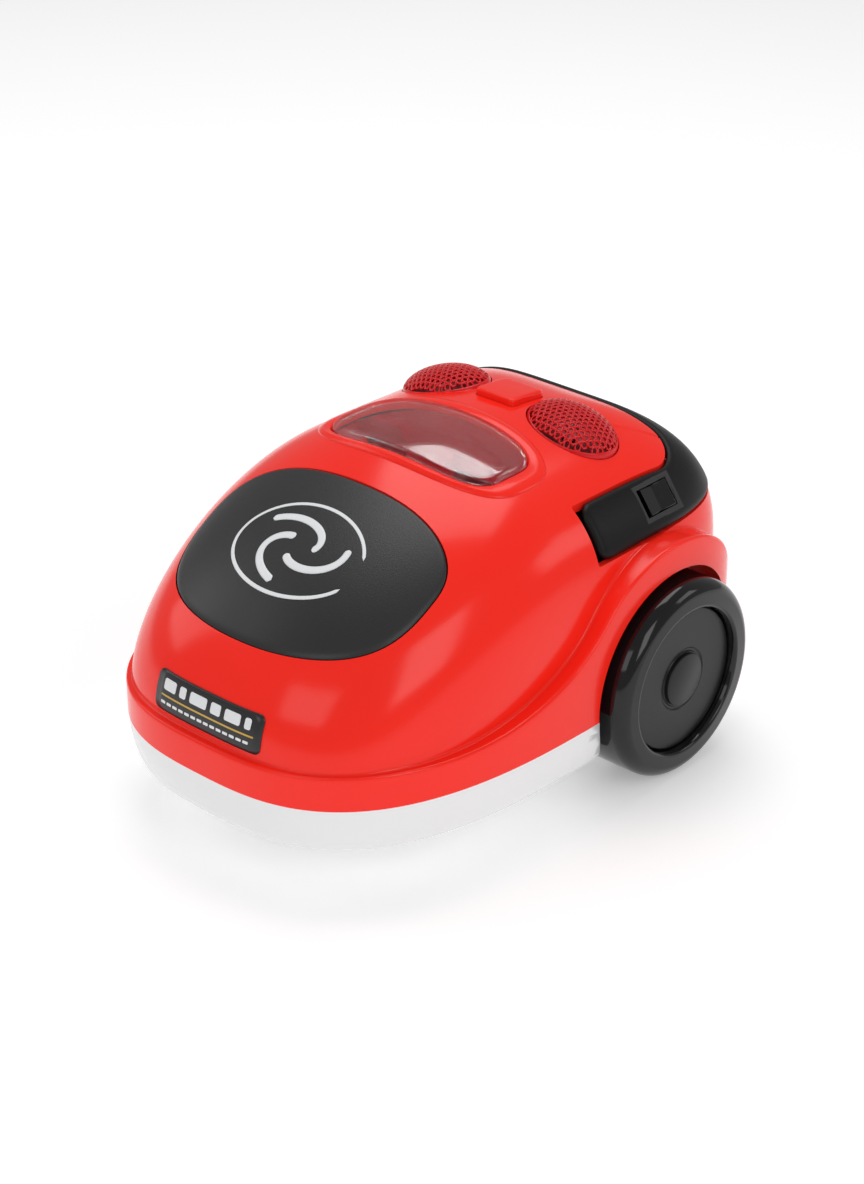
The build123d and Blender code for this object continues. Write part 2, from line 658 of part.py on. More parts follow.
def switch_terminals():
    tabs = None
    for y in (-5.0, 0.0, 5.0):
        tab = switch_plane(SWITCH_DEPTH + SKIN + TERMINAL_LONG / 2).location
        tab = tab * Pos(y, 0, 0) * Box(0.8, 4.0, TERMINAL_LONG)
        tabs = tab if tabs is None else tabs + tab
    return tabs


def top_button():
    base = button_height(BUTTON_DEEP)
    cap = button_prism(0.0, base, HIGH) & dome(-BUTTON_RISE)
    middle = (BUTTON_REAR_Y + BUTTON_FRONT_Y) / 2
    floor_low = button_height(SLEEVE_DEEP) - 0.3
    stem = upright(STEM_R, floor_low - 1.5, base + 1, y=middle)
    barb = upright(BARB_R, floor_low - 2.5, floor_low, y=middle)
    return cap + stem + barb


def button_spring():
    """Coil between the sleeve's floor and the button."""
    low = button_height(SLEEVE_DEEP) + SLEEVE_WALL + SPRING_WIRE + SKIN
    high = button_height(BUTTON_DEEP) - SPRING_WIRE - SKIN
    middle = (BUTTON_REAR_Y + BUTTON_FRONT_Y) / 2
    path = Helix(pitch=(high - low) / SPRING_TURNS, height=high - low, radius=SPRING_R)
    section = Plane(origin=path @ 0, z_dir=path % 0) * Circle(SPRING_WIRE)
    return Pos(0, middle, low) * sweep(section, path=path)


# ================================================================ wheels and caster
def tyre():
    bore = RIM_R + SKIN
    ring = across(WHEEL_R, WHEEL_IN, WHEEL_OUT) - across(bore, WHEEL_IN - 1, WHEEL_OUT + 1)
    outer = ring.edges().filter_by(GeomType.CIRCLE).sort_by(lambda e: e.radius)[-2:]
    return fillet(outer, min(TYRE_ROUND, 0.8 * (WHEEL_R - bore)))


def hub():
    face = WHEEL_OUT - RECESS_DEPTH
    back = WHEEL_IN + 2.0
    dish = across(RIM_R, back, face) - across(RIM_R - HUB_WALL, back - 1, face - HUB_WALL)
    dish = dish + across(BOSS_R, back, face - 0.5)
    for k in range(6):
        rib = Rot(60 * k, 0, 0) * box((back + 4, face - 0.5), (BOSS_R - 1, RIM_R - 1), (-0.9, 0.9))
        dish = dish + Pos(0, AXLE_Y, AXLE_Z) * rib
    dish = dish - across(CLIP_R + 0.8, AXLE_END - CLIP_THICK - 0.6, face + 1)
    return dish - across(AXLE_R + FIT, back - 1, face + 1)


def hub_cap():
    face = WHEEL_OUT - RECESS_DEPTH
    disc = across(CAP_R, face + SKIN, face + CAP_RISE)
    disc = fillet(disc.edges().sort_by(Axis.X)[-1], 0.6)
    return disc + across(CLIP_R + 0.6, face - 2.6, face + 0.5)


def caster_fork():
    """Swivelling fork: plate, two cheeks and an upright pin with a groove for its clip."""
    plate = upright(FORK_R, FORK_TOP_Z - FORK_PLATE, FORK_TOP_Z, y=CASTER_Y)
    cheek_in = ROLLER_HALF + CHEEK_GAP
    fork = plate
    for side in (-1, 1):
        low, high = sorted((side * cheek_in, side * (cheek_in + CHEEK_THICK)))
        y = CASTER_Y + TRAIL
        fork = fork + box((low, high), (y - 5, y + 4), (ROLLER_R, FORK_TOP_Z))
        fork = fork + across(4.0, low, high, y, ROLLER_R)
    fork = fork + upright(STEM_PIN_R, FORK_TOP_Z - 1, STEM_BOSS_Z + 3, y=CASTER_Y)
    groove = upright(STEM_PIN_R + 1, STEM_BOSS_Z + 0.4, STEM_BOSS_Z + 0.4 + STEM_CLIP, y=CASTER_Y)
    groove = groove - upright(STEM_PIN_R - 0.6, 0, HIGH, y=CASTER_Y)
    return fork - groove - across(ROLLER_PIN_R + 0.01, -10, 10, CASTER_Y + TRAIL, ROLLER_R)


def caster_clip():
    """Spring clip in the groove of the caster's pin."""
    low = STEM_BOSS_Z + 0.4 + SKIN
    ring = upright(STEM_PIN_R + 2, low, low + STEM_CLIP - 2 * SKIN, y=CASTER_Y)
    ring = ring - upright(STEM_PIN_R - 0.55, 0, HIGH, y=CASTER_Y)
    return ring - box((-1.8, 1.8), (CASTER_Y, CASTER_Y + 9), (0, HIGH))


def caster_roller():
    y = CASTER_Y + TRAIL
    roller = across(ROLLER_R, -ROLLER_HALF, ROLLER_HALF, y, ROLLER_R)
    roller = fillet(roller.edges().filter_by(GeomType.CIRCLE), 1.0)
    return roller - across(ROLLER_PIN_R + FIT, -5, 5, y, ROLLER_R)


def caster_pin():
    reach = ROLLER_HALF + CHEEK_GAP + CHEEK_THICK
    return across(ROLLER_PIN_R, -reach, reach, CASTER_Y + TRAIL, ROLLER_R)


# ================================================================ inside
def cells():
    """Four cylindrical cells side by side, alternately turned end for end."""
    start = -(CELL_COUNT - 1) / 2 * CELL_PITCH
    low = BAY_Y - CELL_LONG / 2
    for k in range(CELL_COUNT):
        x = start + k * CELL_PITCH
        can = along(CELL_R, low + 1.2, low + CELL_LONG - 0.2, x, CELL_Z)
        can = can + along(2.7, low + 0.2, low + 2, x, CELL_Z)
        PARTS[f"battery_{k + 1}"] = can if k % 2 else can.rotate(Axis((x, BAY_Y, CELL_Z), (0, 0, 1)), 180)


def contacts(side):
    """Spring plates at one end of the battery bay."""
    y = BAY_Y + side * (BAY_HALF_Y - CONTACT_THICK / 2 - SKIN)
    plates = None
    for x in (-CELL_PITCH, CELL_PITCH):
        plate = Pos(x, y, CELL_Z) * Box(CELL_PITCH + 10, CONTACT_THICK, 11)
        leaf_y = y - side * 1.6
        leaf = Pos(x, leaf_y, CELL_Z) * Box(CELL_PITCH + 4, 3.2, 1.2)
        plates = plate + leaf if plates is None else plates + plate + leaf
    return plates


def battery_door():
    door = door_plate(0.0, TRAY_Z, TRAY_Z + DOOR_THICK)
    inside_x = (-BAY_HALF_X + 0.3, BAY_HALF_X - 0.3)
    inside_y = (BAY_Y - BAY_HALF_Y + 0.3, BAY_Y + BAY_HALF_Y - 0.3)
    door = door + box(inside_x, inside_y, (TRAY_Z, FLOOR_Z + 0.2))
    for k in range(4):
        y = BAY_Y + 12 + 3 * k
        door = door - box((-9, 9), (y, y + 1.4), (0, TRAY_Z + 0.6))
    door = door + upright(DOOR_BOSS_R, TRAY_Z, TRAY_Z + DOOR_BOSS_HIGH, y=door_screw_y())
    door = door - upright(DOOR_SCREW_R + 0.3, 0, HIGH, y=door_screw_y())
    return door - upright(SCREW_HEAD_R + 0.2, 0, TRAY_Z + DOOR_SEAT, y=door_screw_y())


def screw(x, y, seat_z, length):
    """Cross-headed screw that points up from its seat."""
    body = upright(SCREW_HEAD_R, seat_z - SCREW_HEAD, seat_z - SKIN, x, y)
    body = body + upright(SCREW_R - 0.02, seat_z - 1, seat_z + length, x, y)
    cross = box((x - 1.8, x + 1.8), (y - 0.3, y + 0.3), (0, seat_z - SCREW_HEAD + 1))
    return body - cross - box((x - 0.3, x + 0.3), (y - 1.8, y + 1.8), (0, seat_z - SCREW_HEAD + 1))


def motor_can():
    low = MOTOR_Y
    can = along(MOTOR_R, low, low + MOTOR_LONG, 0, MOTOR_Z)
    can = fillet(can.edges().filter_by(GeomType.CIRCLE), 1.2)
    can = can + along(4, low - 1.5, low + 1, 0, MOTOR_Z)
    return can - along(SHAFT_R + FIT, low - 3, low + MOTOR_LONG - 4, 0, MOTOR_Z)


def fan():
    """Open impeller on the motor's shaft."""
    low = MOTOR_Y - SHAFT_OUT
    fan_low = low + 1.5
    wheel = along(FAN_R, fan_low, fan_low + 1.6, 0, MOTOR_Z)
    wheel = wheel + along(3.5, fan_low, fan_low + FAN_LONG, 0, MOTOR_Z)
    for k in range(BLADES):
        turn = Pos(0, 0, MOTOR_Z) * Rot(0, 360 / BLADES * k, 0)
        blade = turn * box((3, FAN_R - 0.5), (fan_low, fan_low + FAN_LONG), (-0.6, 0.6))
        wheel = wheel + blade
    return wheel + along(SHAFT_R, low, MOTOR_Y + MOTOR_LONG - 5, 0, MOTOR_Z)


def fan_housing():
    """Round shroud of the impeller, on a foot."""
    low = MOTOR_Y - SHAFT_OUT - 1.5
    high = MOTOR_Y - 0.1
    body = along(HOUSING_R, low, high, 0, MOTOR_Z)
    body = body - along(HOUSING_R - HOUSING_WALL, low - 1, high - 1.6, 0, MOTOR_Z)
    body = body - along(5.0, low - 1, high + 1, 0, MOTOR_Z)
    for k in range(8):
        turn = math.radians(45 * k)
        x, z = 12.5 * math.cos(turn), MOTOR_Z + 12.5 * math.sin(turn)
        body = body - along(2.4, high - 3, high + 1, x, z)
    foot = box((-10, 10), (low, high), (BAY_ROOF_Z + SKIN, MOTOR_Z - HOUSING_R + 4))
    return body + (foot - along(HOUSING_R - 0.5, low - 1, high + 1, 0, MOTOR_Z))


def circuit_board():
    x, y, z = BOARD_AT
    board = Pos(x, y, z) * Box(*BOARD_SIZE)
    for k in (-1, 1):
        board = board - along(1.6, y - 3, y + 3, x + k * 22, z - 13)
    board = board + Pos(x - 10, y - 1.8, z + 4) * Box(12, 2.2, 8)
    board = board + along(3.0, y - 9, y - 0.5, x + 8, z + 6)
    return board


def board_bracket():
    """Angle that carries the board on the tray's floor."""
    x, y, z = BOARD_AT
    back = y + BOARD_SIZE[1] / 2 + SKIN
    low = z - BOARD_SIZE[2] / 2
    bracket = box((-26, 26), (back, back + 2), (FLOOR_Z + SKIN, low + 14))
    return bracket + box((-26, 26), (back, back + 14), (FLOOR_Z + SKIN, FLOOR_Z + 2))


def speaker():
    z = FLOOR_Z + SKIN
    frame = upright(SPEAKER_R, z, z + 1.5, y=SPEAKER_Y) - upright(SPEAKER_R - 2, 0, z + 1.0, y=SPEAKER_Y)
    cone = Pos(0, SPEAKER_Y, z + 1.4 + 1.5) * Cone(SPEAKER_R - 1, 6, 3)
    return frame + cone + upright(6, z + 4, z + SPEAKER_THICK, y=SPEAKER_Y)


# ================================================================ assembly
PARTS["upper_shell"] = upper_shell()
PARTS["base_tray"] = base_tray()
PARTS["rear_band"] = rear_band()
PARTS["badge_panel"] = badge_panel()
PARTS["front_label"] = front_label()
PARTS["window_lens"] = window_lens()
PARTS["chamber_bowl"] = chamber_bowl()
PARTS["chamber_divider"] = chamber_divider()
PARTS["chamber_drum"] = chamber_drum()
pair("mesh_dome", mesh_dome())
pair("reflector", reflector())
pair("lamp", lamp())
PARTS["switch_bezel"] = switch_bezel()
PARTS["switch_rocker"] = switch_rocker()
PARTS["switch_terminals"] = switch_terminals()
PARTS["top_button"] = top_button()
PARTS["button_spring"] = button_spring()
pair("tyre", tyre())
pair("hub", hub())
pair("hub_cap", hub_cap())
PARTS["axle"] = across(AXLE_R, -AXLE_END, AXLE_END)
clip_low = AXLE_END - CLIP_THICK - 0.2
pair("axle_clip", across(CLIP_R, clip_low, clip_low + CLIP_THICK) - across(AXLE_R + 0.01, 0, HIGH))
spacer_low = SADDLE_X + SADDLE_THICK / 2 + 0.1
spacer = across(SPACER_R, spacer_low, WELL_X - WALL - 0.2) - across(AXLE_R + 0.02, 0, HIGH)
pair("axle_spacer", spacer)
PARTS["caster_fork"] = caster_fork()
PARTS["caster_clip"] = caster_clip()
PARTS["caster_roller"] = caster_roller()
PARTS["caster_pin"] = caster_pin()
cells()
PARTS["contacts_front"] = contacts(-1)
PARTS["contacts_rear"] = contacts(1)
PARTS["battery_door"] = battery_door()
PARTS["door_screw"] = screw(0, door_screw_y(), TRAY_Z + DOOR_SEAT, DOOR_SCREW_LONG)
for number, (spot_x, spot_y) in enumerate(SCREW_SPOTS, 1):
    PARTS[f"case_screw_{number}"] = screw(spot_x, spot_y, TRAY_Z + 6, SEAM_Z - TRAY_Z + 4)
PARTS["motor_can"] = motor_can()
PARTS["fan"] = fan()
PARTS["fan_housing"] = fan_housing()
PARTS["circuit_board"] = circuit_board()
PARTS["board_bracket"] = board_bracket()
PARTS["speaker"] = speaker()

for name, shape in PARTS.items():
    export_step(shape, f"parts/{name}.step")
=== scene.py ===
import json
import math

import bmesh
import bpy
import numpy as np
from mathutils import Matrix, Vector

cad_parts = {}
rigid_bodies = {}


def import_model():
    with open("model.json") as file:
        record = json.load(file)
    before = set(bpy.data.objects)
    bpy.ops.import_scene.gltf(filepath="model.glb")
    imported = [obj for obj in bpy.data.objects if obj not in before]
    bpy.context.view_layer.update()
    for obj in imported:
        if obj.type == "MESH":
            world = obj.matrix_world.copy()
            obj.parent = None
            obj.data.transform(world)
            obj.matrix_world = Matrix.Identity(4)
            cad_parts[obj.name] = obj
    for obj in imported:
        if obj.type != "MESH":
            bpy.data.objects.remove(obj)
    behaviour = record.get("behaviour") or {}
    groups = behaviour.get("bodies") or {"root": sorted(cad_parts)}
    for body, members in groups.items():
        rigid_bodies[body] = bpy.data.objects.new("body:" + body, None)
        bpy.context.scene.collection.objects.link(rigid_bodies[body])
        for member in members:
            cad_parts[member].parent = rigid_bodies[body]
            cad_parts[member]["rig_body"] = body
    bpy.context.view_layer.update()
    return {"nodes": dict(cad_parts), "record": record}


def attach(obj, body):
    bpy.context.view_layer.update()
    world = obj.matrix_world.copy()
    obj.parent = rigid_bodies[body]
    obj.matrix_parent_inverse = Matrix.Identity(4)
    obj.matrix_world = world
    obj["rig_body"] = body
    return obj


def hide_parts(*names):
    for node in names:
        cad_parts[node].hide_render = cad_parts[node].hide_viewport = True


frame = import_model()
record = frame["record"]
nodes = frame["nodes"]
MM = 0.001

# ------------------------------------------------------------------ sizes of the body, millimetres
NOSE, TAIL, HALF = -110.0, 110.0, 79.5
CROWN_Z, SEAM_Z, LEDGE_Z, DOME_Z = 125.6, 35.6, 48.5, 50.0
DOME_Y, LIP_Y = 5.0, 14.0
DOME_HALF, DOME_FRONT, DOME_REAR = 72.8, 111.5, 104.5
SIDE_CURVE, NOSE_CURVE, TAIL_CURVE = (4.27, 1.7), (1.93, 1.3), (3.28, 3.49)
NOSE_POWER, TAIL_POWER = (3.17, -1.3), (4.3, 1.0)  # at the foot of the dome, and its change up to the crown
LIP_FRONT_POWER, LIP_REAR_POWER = 2.85, 4.5
AXLE_Y, AXLE_Z, ARCH_R, WELL_X = 49.0, 38.0, 41.2, 61.2
FENDER_R = ARCH_R + 11.0
FENDER_START, FENDER_END = math.radians(137), 0.15  # angles about the axle where the fender's arc runs
SWEEP_START = NOSE + 42
WALL = 2.2

# plan outlines: half width, reach ahead, reach behind, the two powers, centre along the body
PAD = (46.0, 23.0, 23.0, (2.9, 2.9), 7.0)
WINDOW = (38.8, 18.0, 18.0, (3.7, 3.7), 6.0)
BADGE = (52.4, 40.0, 22.0, (2.35, 3.0), -51.0)

BAND_FRONT, BAND_LOW, PANEL_HALF, PANEL_REAR, PANEL_CORNER = 19.5, 90.5, 57.0, 81.0, 16.0
SWITCH_AT, SWITCH_LEAN = (62.76, 56.5, 100.18), math.radians(36.32)
BUTTON_HALF_X, BUTTON_HALF_Y, BUTTON_ROUND, BUTTON_Y = 9.1, 9.0, 2.0, 50.0

COVER_AT, COVER_LEAN = (30.0, 49.5, 118.6), math.radians(14)
COVER_HALF, COVER_REACH, COVER_RISE = 18.4, 14.8, 8.6
COVER_PITCH, COVER_HOLE_R = 2.35, 0.78

WHEEL_R, WHEEL_IN, WHEEL_OUT, HUB_FACE, HUB_R, CAP_R = 38.0, 62.7, 87.7, 84.5, 27.5, 10.1
TREAD_ROUND = 6.0


# ------------------------------------------------------------------ surfaces as whole arrays
def dome_level(x, y, z, inset=0.0):
    """(|x|/half)^p + (|y-yc|/reach)^p, where half, reach and p change with height; 1 on the dome."""
    rise = np.clip((z - DOME_Z) / (CROWN_Z - DOME_Z - inset), 0.0, 0.99999)
    half, ahead, behind = (
        (size - inset) * (1 - rise**up) ** (1 / over)
        for size, (up, over) in ((DOME_HALF, SIDE_CURVE), (DOME_FRONT, NOSE_CURVE), (DOME_REAR, TAIL_CURVE))
    )
    reach = np.where(y < DOME_Y, ahead, behind)
    power = np.where(y < DOME_Y, NOSE_POWER[0] + NOSE_POWER[1] * rise, TAIL_POWER[0] + TAIL_POWER[1] * rise)
    level = (np.abs(x) / half) ** power + (np.abs(y - DOME_Y) / reach) ** power
    return np.where(z >= CROWN_Z - inset, 9.0, level)


def lip_level(x, y, inset=0.0):
    """Superellipse of the lip's plan: one power ahead of its widest place and another behind it."""
    reach = np.where(y < LIP_Y, LIP_Y - NOSE - inset, TAIL - LIP_Y - inset)
    power = np.where(y < LIP_Y, LIP_FRONT_POWER, LIP_REAR_POWER)
    return (np.abs(x) / (HALF - inset)) ** power + (np.abs(y - LIP_Y) / reach) ** power


def lip_height(y, inset=0.0):
    """Top of the lip over y: level, then a cubic S-curve, then the fender's arc, then a drop."""
    radius = FENDER_R - inset
    lead = FENDER_START
    y0, z0 = SWEEP_START, LEDGE_Z - inset
    y1, z1 = AXLE_Y + radius * math.cos(lead), AXLE_Z + radius * math.sin(lead)
    t = np.linspace(0, 1, 60)
    pull = math.hypot(y1 - y0, z1 - z0)
    a, b = 2 * t**3 - 3 * t**2 + 1, t**3 - 2 * t**2 + t
    c, d = -2 * t**3 + 3 * t**2, t**3 - t**2
    sy = a * y0 + b * pull + c * y1 + d * pull * math.sin(lead)
    sz = a * z0 + c * z1 - d * pull * math.cos(lead)
    turn = np.linspace(lead, FENDER_END, 90)[1:]
    ay, az = AXLE_Y + radius * np.cos(turn), AXLE_Z + radius * np.sin(turn)
    ys = np.concatenate([[NOSE - 20], sy, ay, [ay[-1] + 2.5]])
    zs = np.concatenate([[z0], sz, az, [SEAM_Z - 3]])
    return np.interp(y, ys, zs)


def ray_length(inside, origin, way, longest=260.0):
    """Distance along each ray to the surface, by halving the interval 26 times."""
    near = np.zeros(way.shape[:-1])
    far = np.full(way.shape[:-1], longest)
    for _ in range(26):
        middle = (near + far) / 2
        point = origin + way * middle[..., None]
        within = inside(point[..., 0], point[..., 1], point[..., 2])
        near, far = np.where(within, middle, near), np.where(within, far, middle)
    return (near + far) / 2


def plan_reach(inside, azimuth, longest=200.0):
    """Distance in plan from the dome's middle to where the test stops holding, by halving."""
    near, far = np.zeros_like(azimuth), np.full_like(azimuth, longest)
    for _ in range(28):
        middle = (near + far) / 2
        within = inside(middle, middle * np.cos(azimuth), DOME_Y + middle * np.sin(azimuth))
        near, far = np.where(within, middle, near), np.where(within, far, middle)
    return (near + far) / 2


def rounded(a, corner, b, count):
    """Quadratic curve from a to b, tangent to the two lines through the corner; rows of plane points."""
    t = np.linspace(0, 1, count)[:, None, None]
    return (1 - t) ** 2 * a + 2 * t * (1 - t) * corner + t**2 * b


def body_points(columns, dome_rows, inset, ledge_rows=9, edge=1.5, crease=1.3):
    """Body as profiles in upright planes about its middle.

    A profile is the lip's wall, its rounded edge, the ledge, the rounded crease and the dome. Every row is
    the same stage of the profile in each plane, so edge and crease run along the mesh.
    """
    azimuth = np.linspace(0, 2 * np.pi, columns, endpoint=False)
    ca, sa = np.cos(azimuth), np.sin(azimuth)

    def ledge(r):
        return np.maximum(lip_height(DOME_Y + r * sa, inset), SEAM_Z)

    def flat(r, z):
        return np.stack([r, z], -1)

    foot = plan_reach(lambda r, x, y: dome_level(x, y, np.full_like(x, SEAM_Z), inset) < 1, azimuth)
    lip = plan_reach(lambda r, x, y: lip_level(x, y, inset) < 1, azimuth)
    has = (ledge(lip) > SEAM_Z + 0.3) & (lip > foot + 0.02)
    lip = np.where(has, lip, foot)
    fold = plan_reach(lambda r, x, y: (dome_level(x, y, ledge(r), inset) < 1) & (r < lip), azimuth)
    fold = np.where(has, fold, foot)
    top = np.where(has, ledge(lip), SEAM_Z)
    fold_z = np.where(has, ledge(fold), SEAM_Z)
    wide = lip - fold
    edge_in = np.minimum(edge, wide * 0.4)
    fold_out = np.minimum(crease, wide * 0.4)
    edge_down = np.minimum(edge, (top - SEAM_Z) * 0.5)
    wall = np.linspace(0, 1, 5)[:, None]
    rows = [np.stack(np.broadcast_arrays(lip, SEAM_Z + wall * (top - edge_down - SEAM_Z)), -1)]
    start, end = lip - edge_in, fold + fold_out
    start_z = np.where(has, ledge(start), SEAM_Z)
    end_z = np.where(has, ledge(end), SEAM_Z)
    rows.append(rounded(flat(lip, top - edge_down), flat(lip, top), flat(start, start_z), 7)[1:])
    across = start + (end - start) * np.linspace(0, 1, ledge_rows)[1:, None]
    rows.append(np.stack([across, np.where(has, ledge(across), SEAM_Z)], -1))
    first = np.arctan2(fold_z - SEAM_Z, fold) + crease * has / np.hypot(fold, fold_z - SEAM_Z)
    elevation = first + (np.pi / 2 - first) * np.linspace(0, 1, dome_rows)[:, None]
    way = np.stack([np.cos(elevation) * ca, np.cos(elevation) * sa, np.sin(elevation)], -1)
    length = ray_length(lambda x, y, z: dome_level(x, y, z, inset) < 1, np.array([0.0, DOME_Y, SEAM_Z]), way)
    dome = flat(length * np.cos(elevation), SEAM_Z + length * np.sin(elevation))
    rows.append(rounded(flat(end, end_z), flat(fold, fold_z), dome[0], 7)[1:])
    rows.append(dome[1:])
    profile = np.concatenate(rows)
    return np.stack([profile[..., 0] * ca, DOME_Y + profile[..., 0] * sa, profile[..., 1]], -1)


def dome_height(x, y, inset):
    """Height of the dome over plan points, by rays straight up from the seam."""
    origin = np.stack([x, y, np.full_like(x, SEAM_Z)], -1)
    way = np.zeros_like(origin)
    way[..., 2] = 1
    return SEAM_Z + ray_length(lambda a, b, c: dome_level(a, b, c, inset) < 1, origin, way, 100.0)


# ------------------------------------------------------------------ meshes from arrays
def grid_faces(rows, columns, closed):
    """Quads between neighbouring rows; closed joins the last column to the first."""
    r, c = np.meshgrid(np.arange(rows - 1), np.arange(columns if closed else columns - 1), indexing="ij")
    n = (c + 1) % columns
    faces = np.stack([r * columns + c, r * columns + n, (r + 1) * columns + n, (r + 1) * columns + c], -1)
    return faces.reshape(-1, 4)


def make_piece(name, points, faces, material, body, smooth=34.0, replaces=(), merge=2e-6):
    """Object from points in millimetres; normals outwards, doubles merged, smooth below the given angle."""
    piece = raw(name, points, faces, merge)
    finish_piece(piece, material, body, smooth, replaces)
    return piece


def sheet(name, points, closed, material, smooth, thick, replaces=(), body="body"):
    """Piece from rows of points, given a wall on its inner side."""
    points = np.asarray(points)
    piece = make_piece(name, points, grid_faces(*points.shape[:2], closed), material, body, smooth, replaces)
    add(piece, "SOLIDIFY", thickness=thick * MM, offset=-1.0)
    return piece


def raw(name, points, faces, merge=1e-7):
    """Loose object from points in millimetres; the cutters are left so."""
    mesh = bpy.data.meshes.new(name)
    rows = (np.asarray(points).reshape(-1, 3) * MM).tolist()
    mesh.from_pydata(rows, [], [tuple(map(int, face)) for face in faces])
    made = bpy.data.objects.new(name, mesh)
    bpy.context.scene.collection.objects.link(made)
    tidy(mesh, merge)
    return made


def tidy(mesh, merge):
    """Merges doubles, drops faces without area and turns the normals outwards."""
    b = bmesh.new()
    b.from_mesh(mesh)
    bmesh.ops.remove_doubles(b, verts=b.verts, dist=merge)
    bmesh.ops.dissolve_degenerate(b, edges=b.edges, dist=merge)
    bmesh.ops.recalc_face_normals(b, faces=b.faces)
    b.to_mesh(mesh)
    b.free()


def finish_piece(piece, material, body, smooth, replaces):
    """Look, shading and rigid body of one new piece; hides the CAD nodes it replaces."""
    piece.data.materials.clear()
    piece.data.materials.append(material)
    piece.data.shade_smooth()
    if smooth < 180:
        piece.data.set_sharp_from_angle(angle=math.radians(smooth))
    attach(piece, body)
    if replaces:
        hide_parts(*replaces)


def add(piece, kind, **values):
    modifier = piece.modifiers.new(kind.lower(), kind)
    for key, value in values.items():
        setattr(modifier, key, value)
    return modifier


def apply_all(piece):
    """Bakes the piece's modifiers into its mesh."""
    graph = bpy.context.evaluated_depsgraph_get()
    mesh = bpy.data.meshes.new_from_object(piece.evaluated_get(graph))
    piece.modifiers.clear()
    old = piece.data
    piece.data = mesh
    bpy.data.meshes.remove(old)


def cut(piece, cutters):
    """Takes closed solids out of a closed piece."""
    for cutter in cutters:
        add(piece, "BOOLEAN", operation="DIFFERENCE", object=cutter, solver="EXACT")
        apply_all(piece)
        bpy.data.objects.remove(cutter)


def tube_between(outline_low, outline_high):
    """Closed solid between two matching outlines, with a fan of faces on each end."""
    count = len(outline_low)
    points = np.concatenate([outline_low, outline_high, [outline_low.mean(0)], [outline_high.mean(0)]])
    i = np.arange(count)
    j = (i + 1) % count
    side = np.stack([i, j, count + j, count + i], -1).tolist()
    low = np.stack([j, i, np.full(count, 2 * count)], -1).tolist()
    high = np.stack([count + i, count + j, np.full(count, 2 * count + 1)], -1).tolist()
    return points, side + low + high


def plan_outline(shape, grow, z, count=160):
    """Points of a superellipse outline in plan at height z, by its polar form."""
    half, front, rear, powers, centre_y = shape
    a = np.linspace(0, 2 * np.pi, count, endpoint=False)
    reach = np.where(np.sin(a) < 0, front, rear) + grow
    power = np.where(np.sin(a) < 0, powers[0], powers[1])
    share = (np.abs(np.cos(a)) / (half + grow)) ** power + (np.abs(np.sin(a)) / reach) ** power
    r = share ** (-1 / power)
    return np.stack([r * np.cos(a), centre_y + r * np.sin(a), np.full_like(a, z)], -1)


def plan_cutter(name, shape, grow, low, high):
    return raw(name, *tube_between(plan_outline(shape, grow, low), plan_outline(shape, grow, high)))


def turned(name, profile, material, body, sides, replaces, smooth, sign):
    """Profile of (distance along X, radius) turned about the axle."""
    profile = np.asarray(profile, float)
    a = np.linspace(0, 2 * np.pi, sides, endpoint=False)
    x = np.repeat(profile[:, :1], sides, 1) * sign
    y = AXLE_Y + profile[:, 1:2] * np.cos(a)
    z = AXLE_Z + profile[:, 1:2] * np.sin(a)
    points = np.stack([x, y, z], -1)
    make_piece(name, points, grid_faces(len(profile), sides, True), material, body, smooth, replaces)


def arc(cx, cr, radius, start, end, count=8):
    """Points of an arc in a profile, angles in degrees."""
    t = np.radians(np.linspace(start, end, count))
    return np.stack([cx + radius * np.cos(t), cr + radius * np.sin(t)], -1)


def copy_of(node, material, bevel):
    """Merged copy of a CAD node that stands for it, with its small edges rounded."""
    source = nodes[node]
    mesh = source.data.copy()
    piece = bpy.data.objects.new("visual_" + node, mesh)
    bpy.context.scene.collection.objects.link(piece)
    b = bmesh.new()
    b.from_mesh(mesh)
    bmesh.ops.remove_doubles(b, verts=b.verts, dist=1e-6)
    bmesh.ops.dissolve_limit(b, angle_limit=math.radians(1.0), verts=b.verts, edges=b.edges)
    b.to_mesh(mesh)
    b.free()
    finish_piece(piece, material, source["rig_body"], 30.0, (node,))
    if bevel:
        steep = math.radians(40)
        add(piece, "BEVEL", width=bevel * MM, segments=2, limit_method="ANGLE", angle_limit=steep)


# ------------------------------------------------------------------ materials
def group(name, inputs, outputs):
    """Node group with its sockets; gives the tree and its two end nodes."""
    tree = bpy.data.node_groups.new(name, "ShaderNodeTree")
    for label, kind, value in inputs:
        socket = tree.interface.new_socket(label, in_out="INPUT", socket_type=kind)
        if value is not None:
            socket.default_value = value
    for label, kind in outputs:
        tree.interface.new_socket(label, in_out="OUTPUT", socket_type=kind)
    return tree, tree.nodes.new("NodeGroupInput"), tree.nodes.new("NodeGroupOutput")


def node(tree, kind, **values):
    made = tree.nodes.new(kind)
    for key, value in values.items():
        setattr(made, key, value)
    return made


